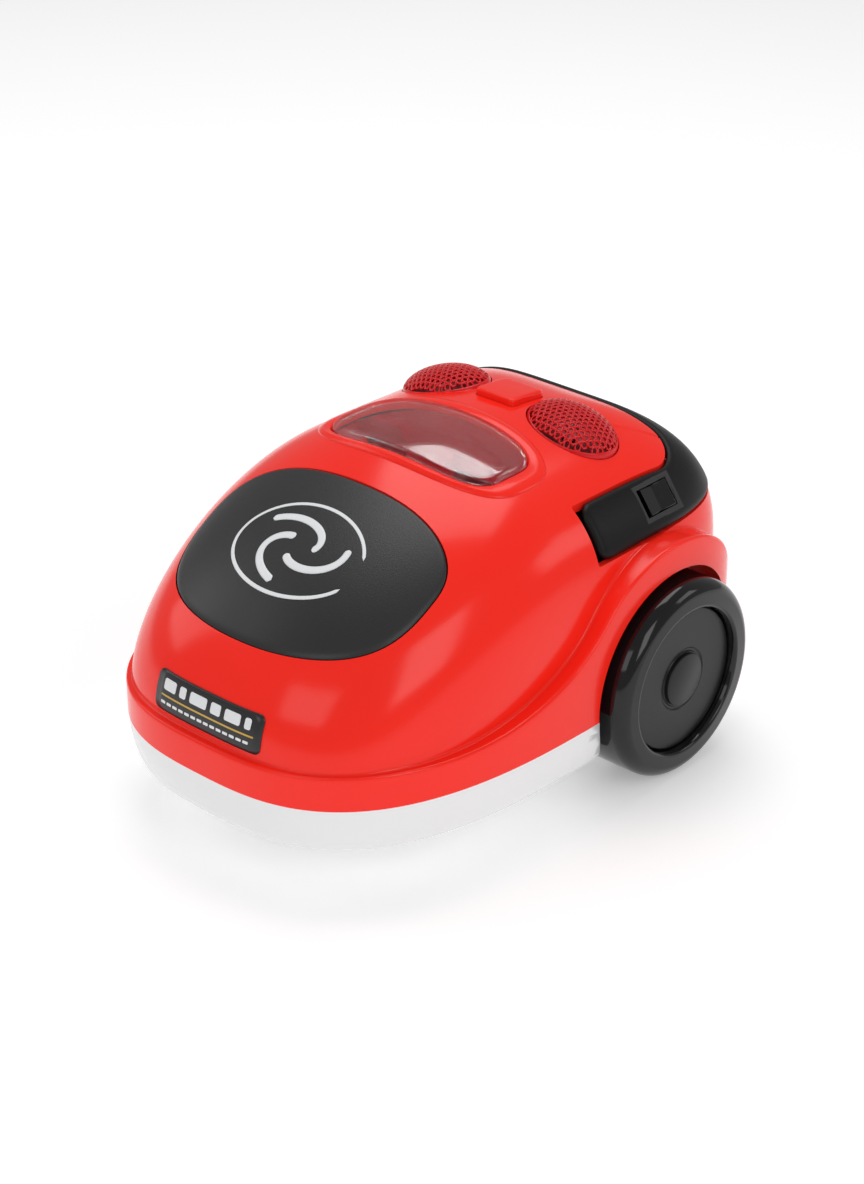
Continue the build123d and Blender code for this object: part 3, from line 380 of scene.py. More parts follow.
def moulded_group():
    """Moulded plastic: a faint cloudy colour change, a fine grain height and slightly uneven roughness."""
    tree, enter, leave = group(
        "moulded_plastic",
        [
            ("Colour", "NodeSocketColor", None),
            ("Cloud", "NodeSocketFloat", 0.04),
            ("Grain Scale", "NodeSocketFloat", 900.0),
            ("Rough", "NodeSocketFloat", 0.3),
            ("Rough Spread", "NodeSocketFloat", 0.05),
        ],
        [("Colour", "NodeSocketColor"), ("Roughness", "NodeSocketFloat"), ("Height", "NodeSocketFloat")],
    )
    place = node(tree, "ShaderNodeTexCoord")
    cloud = node(tree, "ShaderNodeTexNoise")
    cloud.inputs["Scale"].default_value = 22.0
    cloud.inputs["Detail"].default_value = 3.0
    grain = node(tree, "ShaderNodeTexNoise")
    grain.inputs["Detail"].default_value = 4.0
    link = tree.links.new
    link(place.outputs["Object"], cloud.inputs["Vector"])
    link(place.outputs["Object"], grain.inputs["Vector"])
    link(enter.outputs["Grain Scale"], grain.inputs["Scale"])
    centred = node(tree, "ShaderNodeMath", operation="SUBTRACT")
    centred.inputs[1].default_value = 0.5
    link(cloud.outputs["Fac"], centred.inputs[0])
    amount = node(tree, "ShaderNodeMath", operation="MULTIPLY_ADD")
    amount.inputs[2].default_value = 1.0
    link(centred.outputs[0], amount.inputs[0])
    link(enter.outputs["Cloud"], amount.inputs[1])
    shade = node(tree, "ShaderNodeVectorMath", operation="SCALE")
    link(enter.outputs["Colour"], shade.inputs[0])
    link(amount.outputs[0], shade.inputs["Scale"])
    link(shade.outputs[0], leave.inputs["Colour"])
    spread = node(tree, "ShaderNodeMath", operation="MULTIPLY_ADD")
    link(centred.outputs[0], spread.inputs[0])
    link(enter.outputs["Rough Spread"], spread.inputs[1])
    link(enter.outputs["Rough"], spread.inputs[2])
    link(spread.outputs[0], leave.inputs["Roughness"])
    link(grain.outputs["Fac"], leave.inputs["Height"])
    return tree


MOULDED = moulded_group()


def plastic(name, colour, rough, grain, bump, cloud=0.04, spread=0.05, **sockets):
    """Principled plastic whose colour, roughness and bump come from the moulded group."""
    material = bpy.data.materials.new(name)
    material.use_nodes = True
    tree = material.node_tree
    shader = tree.nodes["Principled BSDF"]
    mould = node(tree, "ShaderNodeGroup", node_tree=MOULDED)
    mould.inputs["Colour"].default_value = (*colour, 1)
    mould.inputs["Cloud"].default_value = cloud
    mould.inputs["Grain Scale"].default_value = grain
    mould.inputs["Rough"].default_value = rough
    mould.inputs["Rough Spread"].default_value = spread
    relief = node(tree, "ShaderNodeBump")
    relief.inputs["Strength"].default_value = bump
    relief.inputs["Distance"].default_value = 0.0004
    link = tree.links.new
    link(mould.outputs["Colour"], shader.inputs["Base Color"])
    link(mould.outputs["Roughness"], shader.inputs["Roughness"])
    link(mould.outputs["Height"], relief.inputs["Height"])
    link(relief.outputs["Normal"], shader.inputs["Normal"])
    for key, value in sockets.items():
        shader.inputs[key.replace("_", " ")].default_value = value
    return material


RED = plastic("red_gloss", (1.0, 0.022, 0.011), 0.17, 260, 0.02, 0.05, Specular_IOR_Level=0.3)
WHITE = plastic("white_gloss", (0.86, 0.86, 0.87), 0.24, 300, 0.03, 0.03)
SATIN = plastic("band_satin", (0.006, 0.006, 0.0065), 0.42, 1800, 0.16, 0.2, Specular_IOR_Level=0.18)
BADGE_BLACK = plastic("badge_satin", (0.013, 0.013, 0.013), 0.4, 1800, 0.14, 0.2)
TYRE = plastic("tyre_gloss", (0.005, 0.005, 0.006), 0.1, 400, 0.03, 0.2, Specular_IOR_Level=0.4)
HUB = plastic("hub_satin", (0.008, 0.008, 0.009), 0.34, 1500, 0.08, 0.2, Specular_IOR_Level=0.3)
BEZEL = plastic("bezel_satin", (0.004, 0.004, 0.005), 0.26, 1500, 0.05, 0.2, Specular_IOR_Level=0.26)
ROCKER = plastic("rocker_gloss", (0.004, 0.004, 0.005), 0.14, 1500, 0.03, 0.2, Specular_IOR_Level=0.45)
LABEL = plastic("label_black", (0.014, 0.013, 0.015), 0.3, 1500, 0.03, 0.2)
INK = plastic("ink_white", (0.82, 0.83, 0.85), 0.4, 1500, 0.03)
GOLD = plastic("ink_yellow", (0.65, 0.4, 0.06), 0.4, 1500, 0.03)
CLEAR = {"Transmission_Weight": 1.0, "Alpha": 0.28}
LENS = plastic("lens_clear", (1.0, 0.62, 0.7), 0.02, 200, 0.004, 0.02, 0.02, **CLEAR)
BOWL = plastic("bowl_red", (0.8, 0.012, 0.03), 0.28, 300, 0.03)
# Darker copy of the chamber's red: painted shade for the inside of the chamber, worn by its divider and the
# chamber_dark slot.
CHAMBER_RED_PAINTED_SHADE = plastic("chamber_red_painted_shade", (0.1, 0.004, 0.01), 0.35, 600, 0.05)
MESH = plastic("mesh_red", (0.7, 0.01, 0.014), 0.22, 400, 0.02, Specular_IOR_Level=0.3)
CHROME = plastic("reflector_plate", (0.4, 0.06, 0.07), 0.3, 500, 0.03, Metallic=1.0)
LAMP = plastic("lamp_clear", (0.95, 0.95, 0.95), 0.05, 400, 0.01, Transmission_Weight=1.0, IOR=1.45)
STEEL = plastic("steel", (0.55, 0.55, 0.56), 0.3, 900, 0.05, Metallic=1.0)
BRASS = plastic("brass", (0.7, 0.5, 0.22), 0.3, 900, 0.05, Metallic=1.0)
NYLON = plastic("nylon_white", (0.75, 0.75, 0.72), 0.4, 700, 0.05)
PLAIN_BLACK = plastic("plain_black", (0.02, 0.02, 0.021), 0.45, 900, 0.08)
CELL = plastic("cell_wrap", (0.03, 0.22, 0.08), 0.3, 500, 0.03)
BOARD = plastic("board_green", (0.01, 0.16, 0.05), 0.35, 700, 0.08)

SLOT_LOOK = {
    "shell_red": RED, "tray_white": WHITE, "band_black": SATIN, "badge_black": BADGE_BLACK,
    # chamber_dark takes the darker copy of the chamber red, which is painted shade.
    "label_black": LABEL, "lens_clear": LENS, "chamber_red": BOWL, "chamber_dark": CHAMBER_RED_PAINTED_SHADE, "mesh_red": MESH,
    "reflector_chrome": CHROME, "lamp_clear": LAMP, "switch_black": BEZEL, "rocker_black": ROCKER,
    "brass": BRASS, "steel": STEEL, "tyre_black": TYRE, "hub_black": HUB, "nylon_white": NYLON,
    "caster_black": PLAIN_BLACK, "cell_green": CELL, "board_green": BOARD, "inner_black": PLAIN_BLACK,
}
for part in record["subparts"]:
    skin = nodes[part["node"]].data.materials
    skin.clear()
    skin.append(SLOT_LOOK[part["material_slot"]])

# ------------------------------------------------------------------ red body
COLUMNS = 480


def box_tool(name, place, size):
    """Box cutter: a unit cube stretched to size and set at place, both as a 4x4 matrix and millimetres."""
    sign = np.array([[x, y, z] for x in (-0.5, 0.5) for y in (-0.5, 0.5) for z in (-0.5, 0.5)]) * size
    m = np.array(place)
    points = sign @ m[:3, :3].T + m[:3, 3]
    faces = [(0, 1, 3, 2), (4, 6, 7, 5), (0, 4, 5, 1), (2, 3, 7, 6), (0, 2, 6, 4), (1, 5, 7, 3)]
    return raw(name, points, faces)


def arch_tool(side):
    """Cylinder about the axle from the well's inner wall outwards."""
    a = np.linspace(0, 2 * np.pi, 180, endpoint=False)
    ring = np.stack([np.zeros_like(a), AXLE_Y + ARCH_R * np.cos(a), AXLE_Z + ARCH_R * np.sin(a)], -1)
    low, high = ring.copy(), ring.copy()
    low[:, 0], high[:, 0] = side * WELL_X, side * 120
    return raw("arch", *tube_between(low, high))


def mesh_frame():
    """Frame of the right-hand lamp cover, leaning outwards."""
    return Matrix.Translation(Vector(COVER_AT)) @ Matrix.Rotation(COVER_LEAN, 4, "Y")


def place_points(points, side):
    """Points of the lamp cover's frame, put in their place on the right or mirrored to the left."""
    m = np.array(mesh_frame())
    put = points @ m[:3, :3].T + m[:3, 3]
    put[..., 0] *= side
    return put


def ellipse_tool(side, clear=0.3):
    """Cutter for the seat of a lamp cover."""
    a = np.linspace(0, 2 * np.pi, 120, endpoint=False)
    x, y = (COVER_HALF + clear) * np.cos(a), (COVER_REACH + clear) * np.sin(a)
    rings = [place_points(np.stack([x, y, np.full_like(a, depth)], -1), side) for depth in (-14.0, 12.0)]
    return raw("ellipse", *tube_between(*rings))


def red_body():
    """Outer and inner skins joined at the seam, then opened for everything that sits in the body."""
    outer = body_points(COLUMNS, 86, 0.0)
    inner = body_points(COLUMNS, 34, WALL, 5)
    points = np.concatenate([outer.reshape(-1, 3), inner.reshape(-1, 3)])
    base = outer.shape[0] * COLUMNS
    under = grid_faces(inner.shape[0], COLUMNS, True)[:, ::-1] + base
    c = np.arange(COLUMNS)
    n = (c + 1) % COLUMNS
    rim = np.stack([c, base + c, base + n, n], -1)
    faces = np.concatenate([grid_faces(outer.shape[0], COLUMNS, True), under, rim])
    shell = make_piece("red_body", points, faces, RED, "body", 180.0, ("upper_shell",))
    cut(shell, [
        arch_tool(1),
        arch_tool(-1),
        plan_cutter("badge_hole", BADGE, 0.35, 60, 150),
        plan_cutter("window_hole", WINDOW, 0.8, 60, 150),
        ellipse_tool(1),
        ellipse_tool(-1),
        raw("button_hole", *button_outline_tube(0.35, 100, 150)),
        band_recess(),
        box_tool("switch_hole", switch_frame(), np.array([22.0, 15.0, 26.0])),
    ])
    finish_piece(shell, RED, "body", 42.0, ())
    return shell


def rounded_rectangle(half_x, half_y, radius, centre_y, z, count=120):
    """Evenly spaced points round a rectangle with round corners, in plan."""
    t = np.linspace(0, np.pi / 2, 12)
    turn = np.concatenate([t + k * np.pi / 2 for k in range(4)])
    corner = np.repeat([[1, 1], [-1, 1], [-1, -1], [1, -1]], 12, 0) * (half_x - radius, half_y - radius)
    loop = corner + radius * np.stack([np.cos(turn), np.sin(turn)], -1)
    loop = np.concatenate([loop, loop[:1]])
    gone = np.concatenate([[0], np.cumsum(np.hypot(*np.diff(loop, axis=0).T))])
    stations = np.union1d(np.linspace(0, gone[-1], count, endpoint=False), gone[:-1])
    x, y = np.interp(stations, gone, loop[:, 0]), np.interp(stations, gone, loop[:, 1])
    return np.stack([x, centre_y + y, np.full_like(x, z)], -1)


def button_outline_tube(grow, low, high):
    """Closed solid over the press button's outline, grown by a clearance."""
    sizes = (BUTTON_HALF_X + grow, BUTTON_HALF_Y + grow, BUTTON_ROUND + grow, BUTTON_Y)
    return tube_between(*(rounded_rectangle(*sizes, z) for z in (low, high)))


def in_body(x, y, z):
    """True inside the dome or the lip."""
    return (dome_level(x, y, z) < 1) | ((lip_level(x, y) < 1) & (z < lip_height(y)))


def well_liner(side):
    """Wall of a wheel well: an arc about the axle out to the body's skin, closed by a flat disc inside."""
    angle = np.radians(np.linspace(-3.2, 183.2, 110))
    y, z = AXLE_Y + (ARCH_R + 0.01) * np.cos(angle), AXLE_Z + (ARCH_R + 0.01) * np.sin(angle)
    origin = np.stack([np.zeros_like(y), y, z], -1)
    way = np.zeros_like(origin)
    way[:, 0] = 1
    reach = np.maximum(ray_length(in_body, origin, way, 130.0) - 0.7, WELL_X + 0.5)
    rows = []
    for share in np.linspace(1, 0, 14):
        rows.append(np.stack([WELL_X + (reach - WELL_X) * share, y, z], -1))
    for share in np.linspace(0.94, 0.06, 12):
        flat_y, flat_z = AXLE_Y + ARCH_R * share * np.cos(angle), AXLE_Z + ARCH_R * share * np.sin(angle)
        rows.append(np.stack([np.full_like(y, WELL_X), flat_y, flat_z], -1))
    points = np.stack(rows)
    points[..., 2] = np.maximum(points[..., 2], SEAM_Z)
    points[..., 0] *= side
    name = "well_liner_" + ("right" if side > 0 else "left")
    liner = make_piece(name, points, grid_faces(*points.shape[:2], False), RED, "body", 34.0)
    add(liner, "SOLIDIFY", thickness=1.2 * MM, offset=1.0)


well_liner(1)
well_liner(-1)


# ------------------------------------------------------------------ badge, label, window
def cap_points(shape, rise, edge, rings, columns, drop, grow=0.0):
    """Cap over a plan outline: the dome raised, and lowered again by drop over the last edge millimetres."""
    outline = plan_outline(shape, grow, 0.0, columns)
    centre = np.array([0.0, shape[4], 0.0])
    rim = 0.9 + 0.1 * np.sin(np.linspace(0, np.pi / 2, 9))
    share = np.concatenate([np.linspace(0.0, 0.9, rings - 8)[1:], rim])
    flat = centre + (outline - centre) * share[:, None, None]
    x, y = flat[..., 0], flat[..., 1]
    away = (1 - share)[:, None] * np.hypot(outline[:, 0], outline[:, 1] - shape[4])[None, :]
    fall = np.clip(1 - away / edge, 0, 1)
    z = dome_height(x, y, -rise) - drop * (1 - np.sqrt(np.clip(1 - fall**2, 0, 1)))
    top = np.array([0.0, shape[4], float(dome_height(np.array([0.0]), np.array([shape[4]]), -rise)[0])])
    return np.concatenate([np.repeat(top[None, None], columns, 1), np.stack([x, y, z], -1)])


def badge():
    """Oval panel, raised a little over its seat."""
    points = cap_points(BADGE, 0.35, 1.6, 44, 220, 1.0)
    sheet("badge", points, True, BADGE_BLACK, 60.0, 1.2, ("badge_panel",))


def window_surround():
    """Raised collar between the pad's outline and the window's, with a crowned top and rounded borders."""
    outer = [(0.0, -0.4), (0.0, 0.15), (-0.12, 0.5), (-0.4, 0.8), (-0.9, 0.98)]
    inner = [(1.5, 1.0), (0.9, 0.93), (0.45, 0.72), (0.15, 0.38), (0.0, -0.2), (0.0, -2.6)]
    rows = []
    for grow, rise in outer:
        rows.append(plan_outline(PAD, grow, rise, 240))
    for share in np.linspace(0, 1, 12)[1:-1]:
        edge, lip = plan_outline(PAD, -0.9, 0.98, 240), plan_outline(WINDOW, 1.5, 1.0, 240)
        rows.append(edge + (lip - edge) * share + (0, 0, 0.25 * math.sin(math.pi * share)))
    for grow, rise in inner:
        rows.append(plan_outline(WINDOW, grow, rise, 240))
    points = np.stack(rows)
    points[..., 2] += dome_height(points[..., 0], points[..., 1], 0.0)
    make_piece("window_surround", points, grid_faces(*points.shape[:2], True), RED, "body", 60.0)


def window():
    """Clear lens that stands over the pad."""
    points = cap_points(WINDOW, 2.4, 2.4, 40, 240, 2.4, -0.35)
    sheet("window", points, True, LENS, 80.0, 1.3, ("window_lens",))


badge()
window_surround()
window()


def ribbon(name, path, width, rise, material):
    """Flat stroke with round ends: a plan path laid on the dome and widened sideways."""
    path = np.asarray(path, float)
    along = np.gradient(path, axis=0)
    along /= np.linalg.norm(along, axis=1)[:, None]
    side = np.stack([-along[:, 1], along[:, 0]], -1)
    gone = np.concatenate([[0], np.cumsum(np.linalg.norm(np.diff(path, axis=0), axis=1))])
    near_end = np.minimum(gone, gone[-1] - gone)
    half = width / 2 * np.sqrt(np.clip(1 - np.clip(1 - near_end / (width / 2), 0, 1) ** 2, 0.001, 1))
    share = np.linspace(-1, 1, 5)
    flat = path[:, None, :] + side[:, None, :] * (share[None, :, None] * half[:, None, None])
    z = dome_height(flat[..., 0], flat[..., 1], -rise)
    points = np.concatenate([flat, z[..., None]], -1)
    piece = make_piece(name, points, grid_faces(*points.shape[:2], False), material, "body", 60.0)
    add(piece, "SOLIDIFY", thickness=0.12 * MM, offset=1.0)


MOTIF_Y, MOTIF_SQUASH = -60.0, 0.62


def spiral_arc(radius, start, end, grow=0.0, count=70):
    """Arc whose radius grows along its length, flattened along the body."""
    a = np.radians(np.linspace(start, end, count))
    r = radius + grow * np.linspace(0, 1, count)
    return np.stack([r * np.cos(a), MOTIF_Y + MOTIF_SQUASH * r * np.sin(a)], -1)


for k in range(3):
    ribbon(f"badge_swirl_{k + 1}", spiral_arc(6.0, 120 * k + 10, 120 * k + 150, grow=15.0), 2.6, 0.36, INK)
ribbon("badge_ring", spiral_arc(27.0, 20, 340), 1.2, 0.36, INK)


def nose_depth(x, z, rise):
    """How far ahead the dome stands at (x, z), by rays towards the nose."""
    origin = np.stack([x, np.full_like(x, DOME_Y - 1.0), z], -1)
    way = np.zeros_like(origin)
    way[..., 1] = -1
    return DOME_Y - 1.0 - ray_length(lambda a, b, c: dome_level(a, b, c, -rise) < 1, origin, way, 130.0)


def nose_patch(name, half_x, low_z, high_z, radius, rise, material, thick, replaces=(), centre_x=0.0):
    """Rounded rectangle laid on the nose: rings of its outline drawn in towards its middle."""
    flat = rounded_rectangle(half_x, (high_z - low_z) / 2, radius, (low_z + high_z) / 2, 0.0, 60)
    middle = np.array([0.0, (low_z + high_z) / 2])
    share = np.linspace(0.0, 1.0, 8)[:, None, None]
    spot = middle + (flat[None, :, :2] - middle) * share
    x, z = spot[..., 0] + centre_x, spot[..., 1]
    points = np.stack([x, nose_depth(x, z, rise), z], -1)
    sheet(name, points, True, material, 60.0, thick, replaces)


nose_patch("label", 25.5, 50.9, 64.7, 2.5, 0.35, LABEL, 0.3, ("front_label",))
left = -22.0
for k, wide in enumerate((7.0, 4.0, 9.0, 5.5, 8.0, 3.5)):
    nose_patch(f"label_mark_{k + 1}", wide / 2 - 0.4, 58.6, 62.4, 0.8, 0.42, INK, 0.1, (), left + wide / 2)
    left += wide + 1.2
nose_patch("label_line", 22.3, 56.35, 56.95, 0.25, 0.42, GOLD, 0.1)
for k in range(14):
    nose_patch(f"label_dash_{k + 1}", 1.15, 53.6, 54.6, 0.3, 0.42, INK, 0.1, (), -21.0 + k * 3.1)


# ------------------------------------------------------------------ rear band

def band_path(s, ahead):
    """Point and outward direction on the top panel's outline, a length s from the right-hand front end."""
    run = PANEL_REAR - PANEL_CORNER - BAND_FRONT + ahead
    turn = PANEL_CORNER * np.pi / 2
    total = 2 * (run + turn + PANEL_HALF - PANEL_CORNER)
    near = np.minimum(s, total - s)
    side = np.where(s <= total / 2, 1, -1)
    angle = np.clip((near - run) / PANEL_CORNER, 0, np.pi / 2)
    x = PANEL_HALF - PANEL_CORNER + PANEL_CORNER * np.cos(angle) - np.clip(near - run - turn, 0, None)
    y = BAND_FRONT - ahead + np.minimum(near, run) + PANEL_CORNER * np.sin(angle)
    return side * x, y, side * np.cos(angle), np.sin(angle), near


def eased(length, edge, middle):
    """Stations from 0 to length that crowd together at both ends, as equal turns of an arc."""
    steps = edge * (1 - np.cos(np.linspace(0, np.pi / 2, 8)))[:-1]
    return np.concatenate([steps, np.linspace(edge, length - edge, middle), (length - steps)[::-1]])


def band_grid(grow, ahead, corner, edge, rise, sunk):
    """Band round the tail from the panel's outline out to its lower edge, with round ends and pillowed edges.

    Each column is a fan of rays, from straight up to straight outwards, met by the dome. The height over
    the dome is sunk at the border and comes up to rise along a quarter ellipse, edge millimetres wide.
    """
    run = PANEL_REAR - PANEL_CORNER - BAND_FRONT + ahead
    total = 2 * (run + PANEL_CORNER * np.pi / 2 + PANEL_HALF - PANEL_CORNER)
    px, py, nx, ny, near = band_path(eased(total, corner, 150), ahead)
    out, up = np.stack([nx, ny, 0 * nx], -1), np.array([0.0, 0.0, 1.0])
    origin = np.stack([px, py, np.full_like(px, BAND_LOW - grow)], -1) - grow * out
    wide, high = dome_ray(origin, out), dome_ray(origin, np.broadcast_to(up, out.shape))
    trim = corner - np.sqrt(np.clip(corner**2 - (corner - np.minimum(near, corner)) ** 2, 0, None))
    first, last = np.pi / 2 - trim / high, trim / wide
    place = eased(1.0, 0.1, 22)[:, None]
    turn = (first + (last - first) * place)[..., None]
    way = out * np.cos(turn) + up * np.sin(turn)
    length = dome_ray(origin, way)
    border = np.minimum(np.minimum(place, 1 - place) * (first - last) * length, near)
    lift = sunk + (rise - sunk) * np.sqrt(np.clip(1 - (1 - np.clip(border / edge, 0, 1)) ** 2, 0, 1))
    return origin + way * (length + lift)[..., None]


def dome_ray(origin, way):
    """Length of each ray from its origin to the dome."""
    return ray_length(lambda x, y, z: dome_level(x, y, z) < 1, origin, way, 80.0)


def band_recess():
    """Closed cutter for the band's seat: longer than the band at its front ends, and through the wall."""
    low, high = (band_grid(0.45, 2.3, 0.8, 0.4, level, level) for level in (-3.4, 3.5))
    rows, columns = low.shape[:2]
    index = np.arange(rows * columns).reshape(rows, columns)
    ring = np.concatenate([index[0], index[1:, -1], index[-1, -2::-1], index[-2:0:-1, 0]])
    after = np.roll(ring, -1)
    count = rows * columns
    sides = np.stack([ring, after, after + count, ring + count], -1)
    skin = grid_faces(rows, columns, False)
    faces = np.concatenate([skin[:, ::-1], skin + count, sides])
    return raw("band_seat", np.concatenate([low.reshape(-1, 3), high.reshape(-1, 3)]), faces)


def switch_frame():
    """Frame of the switch: x along the body, z out of its face, leaning up from sideways."""
    out = np.array([math.cos(SWITCH_LEAN), 0, math.sin(SWITCH_LEAN)])
    place = np.eye(4)
    place[:3, 0], place[:3, 1], place[:3, 2] = (0, 1, 0), np.cross(out, (0, 1, 0)), out
    place[:3, 3] = SWITCH_AT
    return place


def rear_band():
    """Black cover round the tail, with the hole of the rocker switch."""
    points = band_grid(0.0, 0.0, 5.5, 2.8, 0.95, -1.6)
    piece = sheet("rear_band_cover", points, False, SATIN, 50.0, 0.9, ("rear_band",))
    apply_all(piece)
    cut(piece, [box_tool("switch_hole", switch_frame(), np.array([20.6, 14.2, 16.0]))])
    finish_piece(piece, SATIN, "body", 45.0, ())


rear_band()
red_body()


# ------------------------------------------------------------------ lamp covers with real round holes
def hole_cells():
    """Hexagon lattice in plan, whose every cell is a ring from its border to a round hole."""
    corners = 12
    i, j = np.meshgrid(np.arange(-14, 15), np.arange(-12, 13), indexing="ij")
    cx = (i + 0.5 * (j % 2)) * COVER_PITCH
    cy = j * COVER_PITCH * math.sqrt(3) / 2
    keep = (cx / (COVER_HALF - 1.1)) ** 2 + (cy / (COVER_REACH - 1.1)) ** 2 < 1
    a = np.radians(30 + np.arange(corners) * 360 / corners)
    border = COVER_PITCH / 2 / np.cos(a % np.radians(60) - np.radians(30))
    rings = np.stack([np.stack([r * np.cos(a), r * np.sin(a)], -1) for r in (COVER_HOLE_R + 0 * a, border)])
    flat = np.stack([cx[keep], cy[keep]], -1)[:, None, None, :] + rings[None]
    base = np.arange(len(flat))[:, None] * 2 * corners
    k = np.arange(corners)
    n = (k + 1) % corners
    quads = np.stack([base + k, base + n, base + corners + n, base + corners + k], -1).reshape(-1, 4)
    return flat.reshape(-1, 2), quads


def cover_height(x, y):
    """Half ellipsoid over the lamp cover's outline."""
    return COVER_RISE * np.sqrt(np.clip(1 - (x / COVER_HALF) ** 2 - (y / COVER_REACH) ** 2, 0, 1))


def lamp_cover(side, word):
    """Perforated cap bent onto the half ellipsoid."""
    flat, quads = hole_cells()
    x, y = flat[:, 0], flat[:, 1]
    points = place_points(np.stack([x, y, cover_height(x, y)], -1), side)
    piece = make_piece("lamp_cover_" + word, points, quads, MESH, "body", 50.0, ("mesh_dome_" + word,), 2e-5)
    add(piece, "SOLIDIFY", thickness=0.8 * MM, offset=-1.0)


def lamp_rim(side, word, a):
    """Plain border of the cap, running down into its seat."""
    share = np.array([0.955, 0.97, 0.98, 0.988, 0.995, 1.0, 1.0, 1.0])[:, None]
    drop = np.array([0, 0, 0, 0, 0, 0, -1.5, -4.0])[:, None]
    x, y = COVER_HALF * share * np.cos(a), COVER_REACH * share * np.sin(a)
    points = place_points(np.stack([x, y, cover_height(x, y) + drop + 0.03], -1), side)
    sheet("lamp_rim_" + word, points, True, MESH, 50.0, 0.9)


def lamp_dish(side, word, a):
    """Shallow reflector under the cap, open in its middle."""
    deep = np.linspace(0.16, 0.95, 14)[:, None]
    x, y = (COVER_HALF - 1.4) * deep * np.cos(a), (COVER_REACH - 1.4) * deep * np.sin(a)
    points = place_points(np.stack([x, y, 3.6 * (np.repeat(deep**2, len(a), 1) - 1)], -1), side)
    sheet("lamp_dish_" + word, points, True, CHROME, 50.0, 0.4, ("reflector_" + word,))


def covers():
    """Cap, border and reflector of both lamps."""
    a = np.linspace(0, 2 * np.pi, 120, endpoint=False)
    for side, word in ((1, "right"), (-1, "left")):
        lamp_cover(side, word)
        lamp_rim(side, word, a)
        lamp_dish(side, word, a)


covers()


# ------------------------------------------------------------------ press button
def press_button():
    """Cap over the button's outline that follows the dome, with rounded upper edges and straight sides."""
    outline = rounded_rectangle(BUTTON_HALF_X, BUTTON_HALF_Y, BUTTON_ROUND, BUTTON_Y, 0.0)
    centre = np.array([0.0, BUTTON_Y, 0.0])
    share = np.concatenate([np.linspace(0, 0.84, 9), [0.88, 0.92, 0.95, 0.975, 0.992, 1.0, 1.0, 1.0]])
    drop = np.concatenate([np.zeros(9), [0.0, 0.05, 0.15, 0.32, 0.62, 1.1, 3.0, 6.5]])
    flat = centre + (outline - centre) * share[:, None, None]
    x, y = flat[..., 0], flat[..., 1]
    z = dome_height(x, y, -2.6) - drop[:, None]
    sheet("press_button", np.stack([x, y, z], -1), True, RED, 40.0, 1.2, ("top_button",), "button")


press_button()


# ------------------------------------------------------------------ wheels
def wheels():
    """Tyre, dished hub and cap, each a profile turned about the axle."""
    inner, out, face = WHEEL_IN, WHEEL_OUT, HUB_FACE
    bore = HUB_R + 0.5
    tyre = np.concatenate([
        [[inner, bore]],
        arc(inner + 2.0, WHEEL_R - 2.0, 2.0, 180, 90, 8),
        arc(out - TREAD_ROUND, WHEEL_R - TREAD_ROUND, TREAD_ROUND, 90, 12, 16),
        arc(out - 1.6, bore + 1.4, 1.5, 20, -60, 8),
        [[face - 1.5, HUB_R + 0.2], [inner, bore]],
    ])
    groove = CAP_R + 0.8
    hub = np.concatenate([
        [[inner + 2.0, 0.1], [inner + 2.0, HUB_R], [face - 0.9, HUB_R]],
        arc(face - 0.7, HUB_R - 0.9, 0.7, 60, 0, 5),
        [[face, HUB_R - 3.0], [face, groove + 1.3], [face - 0.5, groove + 0.7], [face - 0.5, groove]],
        [[face, groove - 0.4], [face, 0.1]],
    ])
    crown = face + 1.4
    cap = np.concatenate([
        [[face - 1.0, CAP_R], [crown - 0.6, CAP_R], [crown - 0.25, CAP_R - 0.15]],
        [[crown, CAP_R - 0.6], [crown, 0.1]],
    ])
    for side, word in ((1, "right"), (-1, "left")):
        body = "wheel_" + word
        turned("wheel_tyre_" + word, tyre, TYRE, body, 180, ("tyre_" + word,), 40.0, side)
        turned("wheel_dish_" + word, hub, HUB, body, 180, ("hub_" + word,), 30.0, side)
        turned("wheel_cap_" + word, cap, HUB, body, 120, ("hub_cap_" + word,), 30.0, side)


wheels()

for name, look, bevel in (
    ("base_tray", WHITE, 0.0), ("switch_bezel", BEZEL, 0.35), ("switch_rocker", ROCKER, 0.5),
    # the divider wears the darker copy of the chamber red, which is painted shade
    ("chamber_bowl", BOWL, 0.2), ("chamber_divider", CHAMBER_RED_PAINTED_SHADE, 0.2), ("chamber_drum", BOWL, 0.1),
    ("caster_fork", PLAIN_BLACK, 0.2),
):
    copy_of(name, look, bevel)

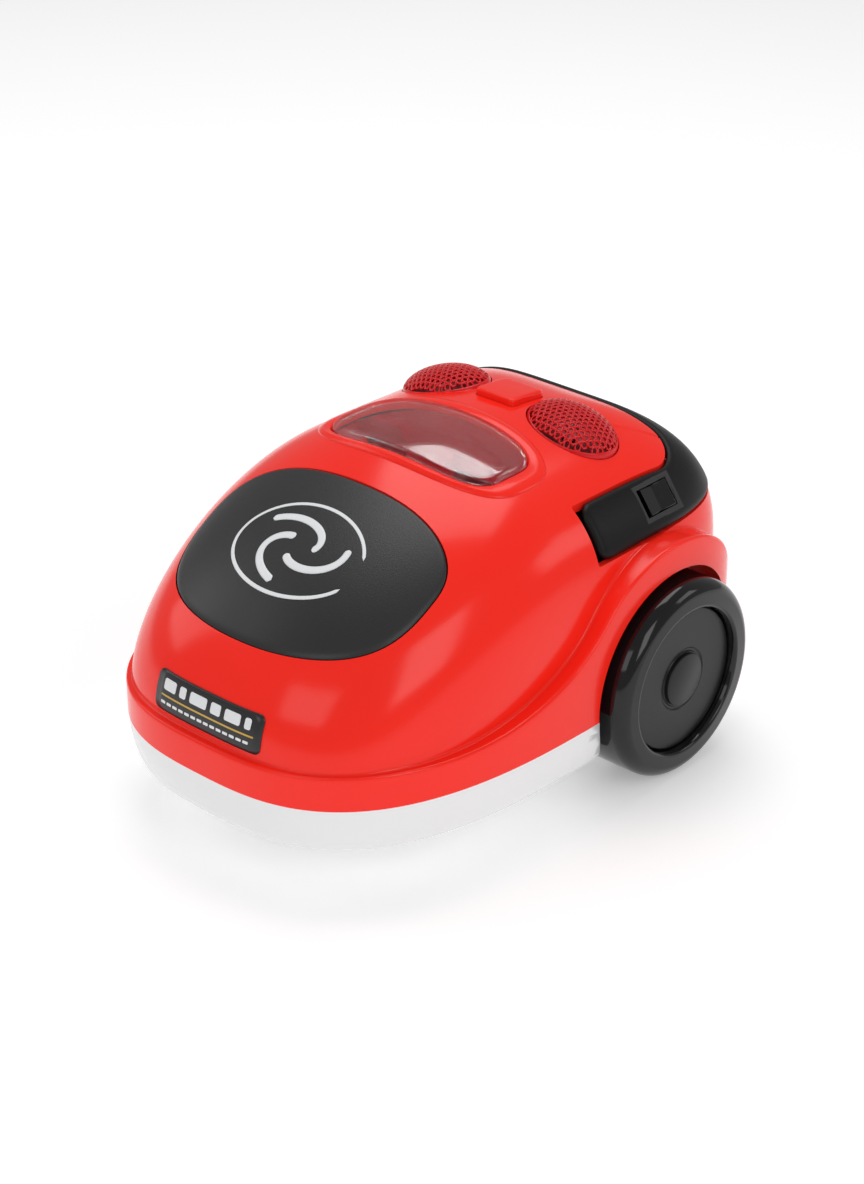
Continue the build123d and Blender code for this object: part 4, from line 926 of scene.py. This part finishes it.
# ------------------------------------------------------------------ floor, light and camera
floor_mesh = bpy.data.meshes.new("floor")
floor_mesh.from_pydata([(-4, -4, 0), (4, -4, 0), (4, 4, 0), (-4, 4, 0)], [], [(0, 1, 2, 3)])
floor = bpy.data.objects.new("floor", floor_mesh)
bpy.context.scene.collection.objects.link(floor)
pale = bpy.data.materials.new("pale_floor")
pale.use_nodes = True
paint = pale.node_tree.nodes["Principled BSDF"].inputs
paint["Base Color"].default_value = (0.93, 0.93, 0.93, 1)
paint["Roughness"].default_value = 0.6
paint["Emission Color"].default_value = (1, 1, 1, 1)
paint["Emission Strength"].default_value = 0.26
floor_mesh.materials.append(pale)

world = bpy.data.worlds.new("studio")
bpy.context.scene.world = world
world.use_nodes = True
world.node_tree.nodes["Background"].inputs["Color"].default_value = (1, 1, 1, 1)
world.node_tree.nodes["Background"].inputs["Strength"].default_value = 0.38


def soft_light(name, spot, aim, size, power):
    """Rectangular area light, size and power in metres and watts, turned towards aim."""
    light = bpy.data.lights.new(name, "AREA")
    light.shape, light.size, light.size_y, light.energy = "RECTANGLE", size[0], size[1], power
    lamp = bpy.data.objects.new(name, light)
    bpy.context.scene.collection.objects.link(lamp)
    lamp.location = spot
    lamp.rotation_euler = (Vector(aim) - Vector(spot)).to_track_quat("-Z", "Y").to_euler()


soft_light("top_box", (-0.3, 0.45, 1.3), (0, 0, 0.05), (1.0, 0.8), 7.3)
soft_light("right_box", (1.15, -0.25, 0.75), (0, 0, 0.06), (0.5, 0.8), 3.3)
soft_light("front_box", (0.15, -1.35, 0.85), (0, 0, 0.06), (0.9, 0.6), 2.9)
soft_light("left_box", (-1.2, -0.5, 0.8), (0, 0, 0.06), (0.6, 0.8), 2.4)
soft_light("back_box", (0.95, 0.95, 0.7), (0, 0, 0.1), (0.5, 0.4), 1.2)

EYE_AT, FOCAL, SENSOR = (0.5644, -0.6144, 0.5024), 79.05, 36.0
azimuth, elevation = math.radians(42.2), math.radians(27.8)
level = math.cos(elevation)
back = Vector((math.sin(azimuth) * level, -math.cos(azimuth) * level, math.sin(elevation)))
right = Vector((math.cos(azimuth), math.sin(azimuth), 0))
up = back.cross(right)
camera = bpy.data.cameras.new("camera")
camera.sensor_width = SENSOR
camera.lens = FOCAL
eye = bpy.data.objects.new("camera", camera)
bpy.context.scene.collection.objects.link(eye)
eye.matrix_world = Matrix((*zip(right, up, back, EYE_AT), (0, 0, 0, 1)))
bpy.context.scene.camera = eye
bpy.context.scene.view_settings.view_transform = "Standard"
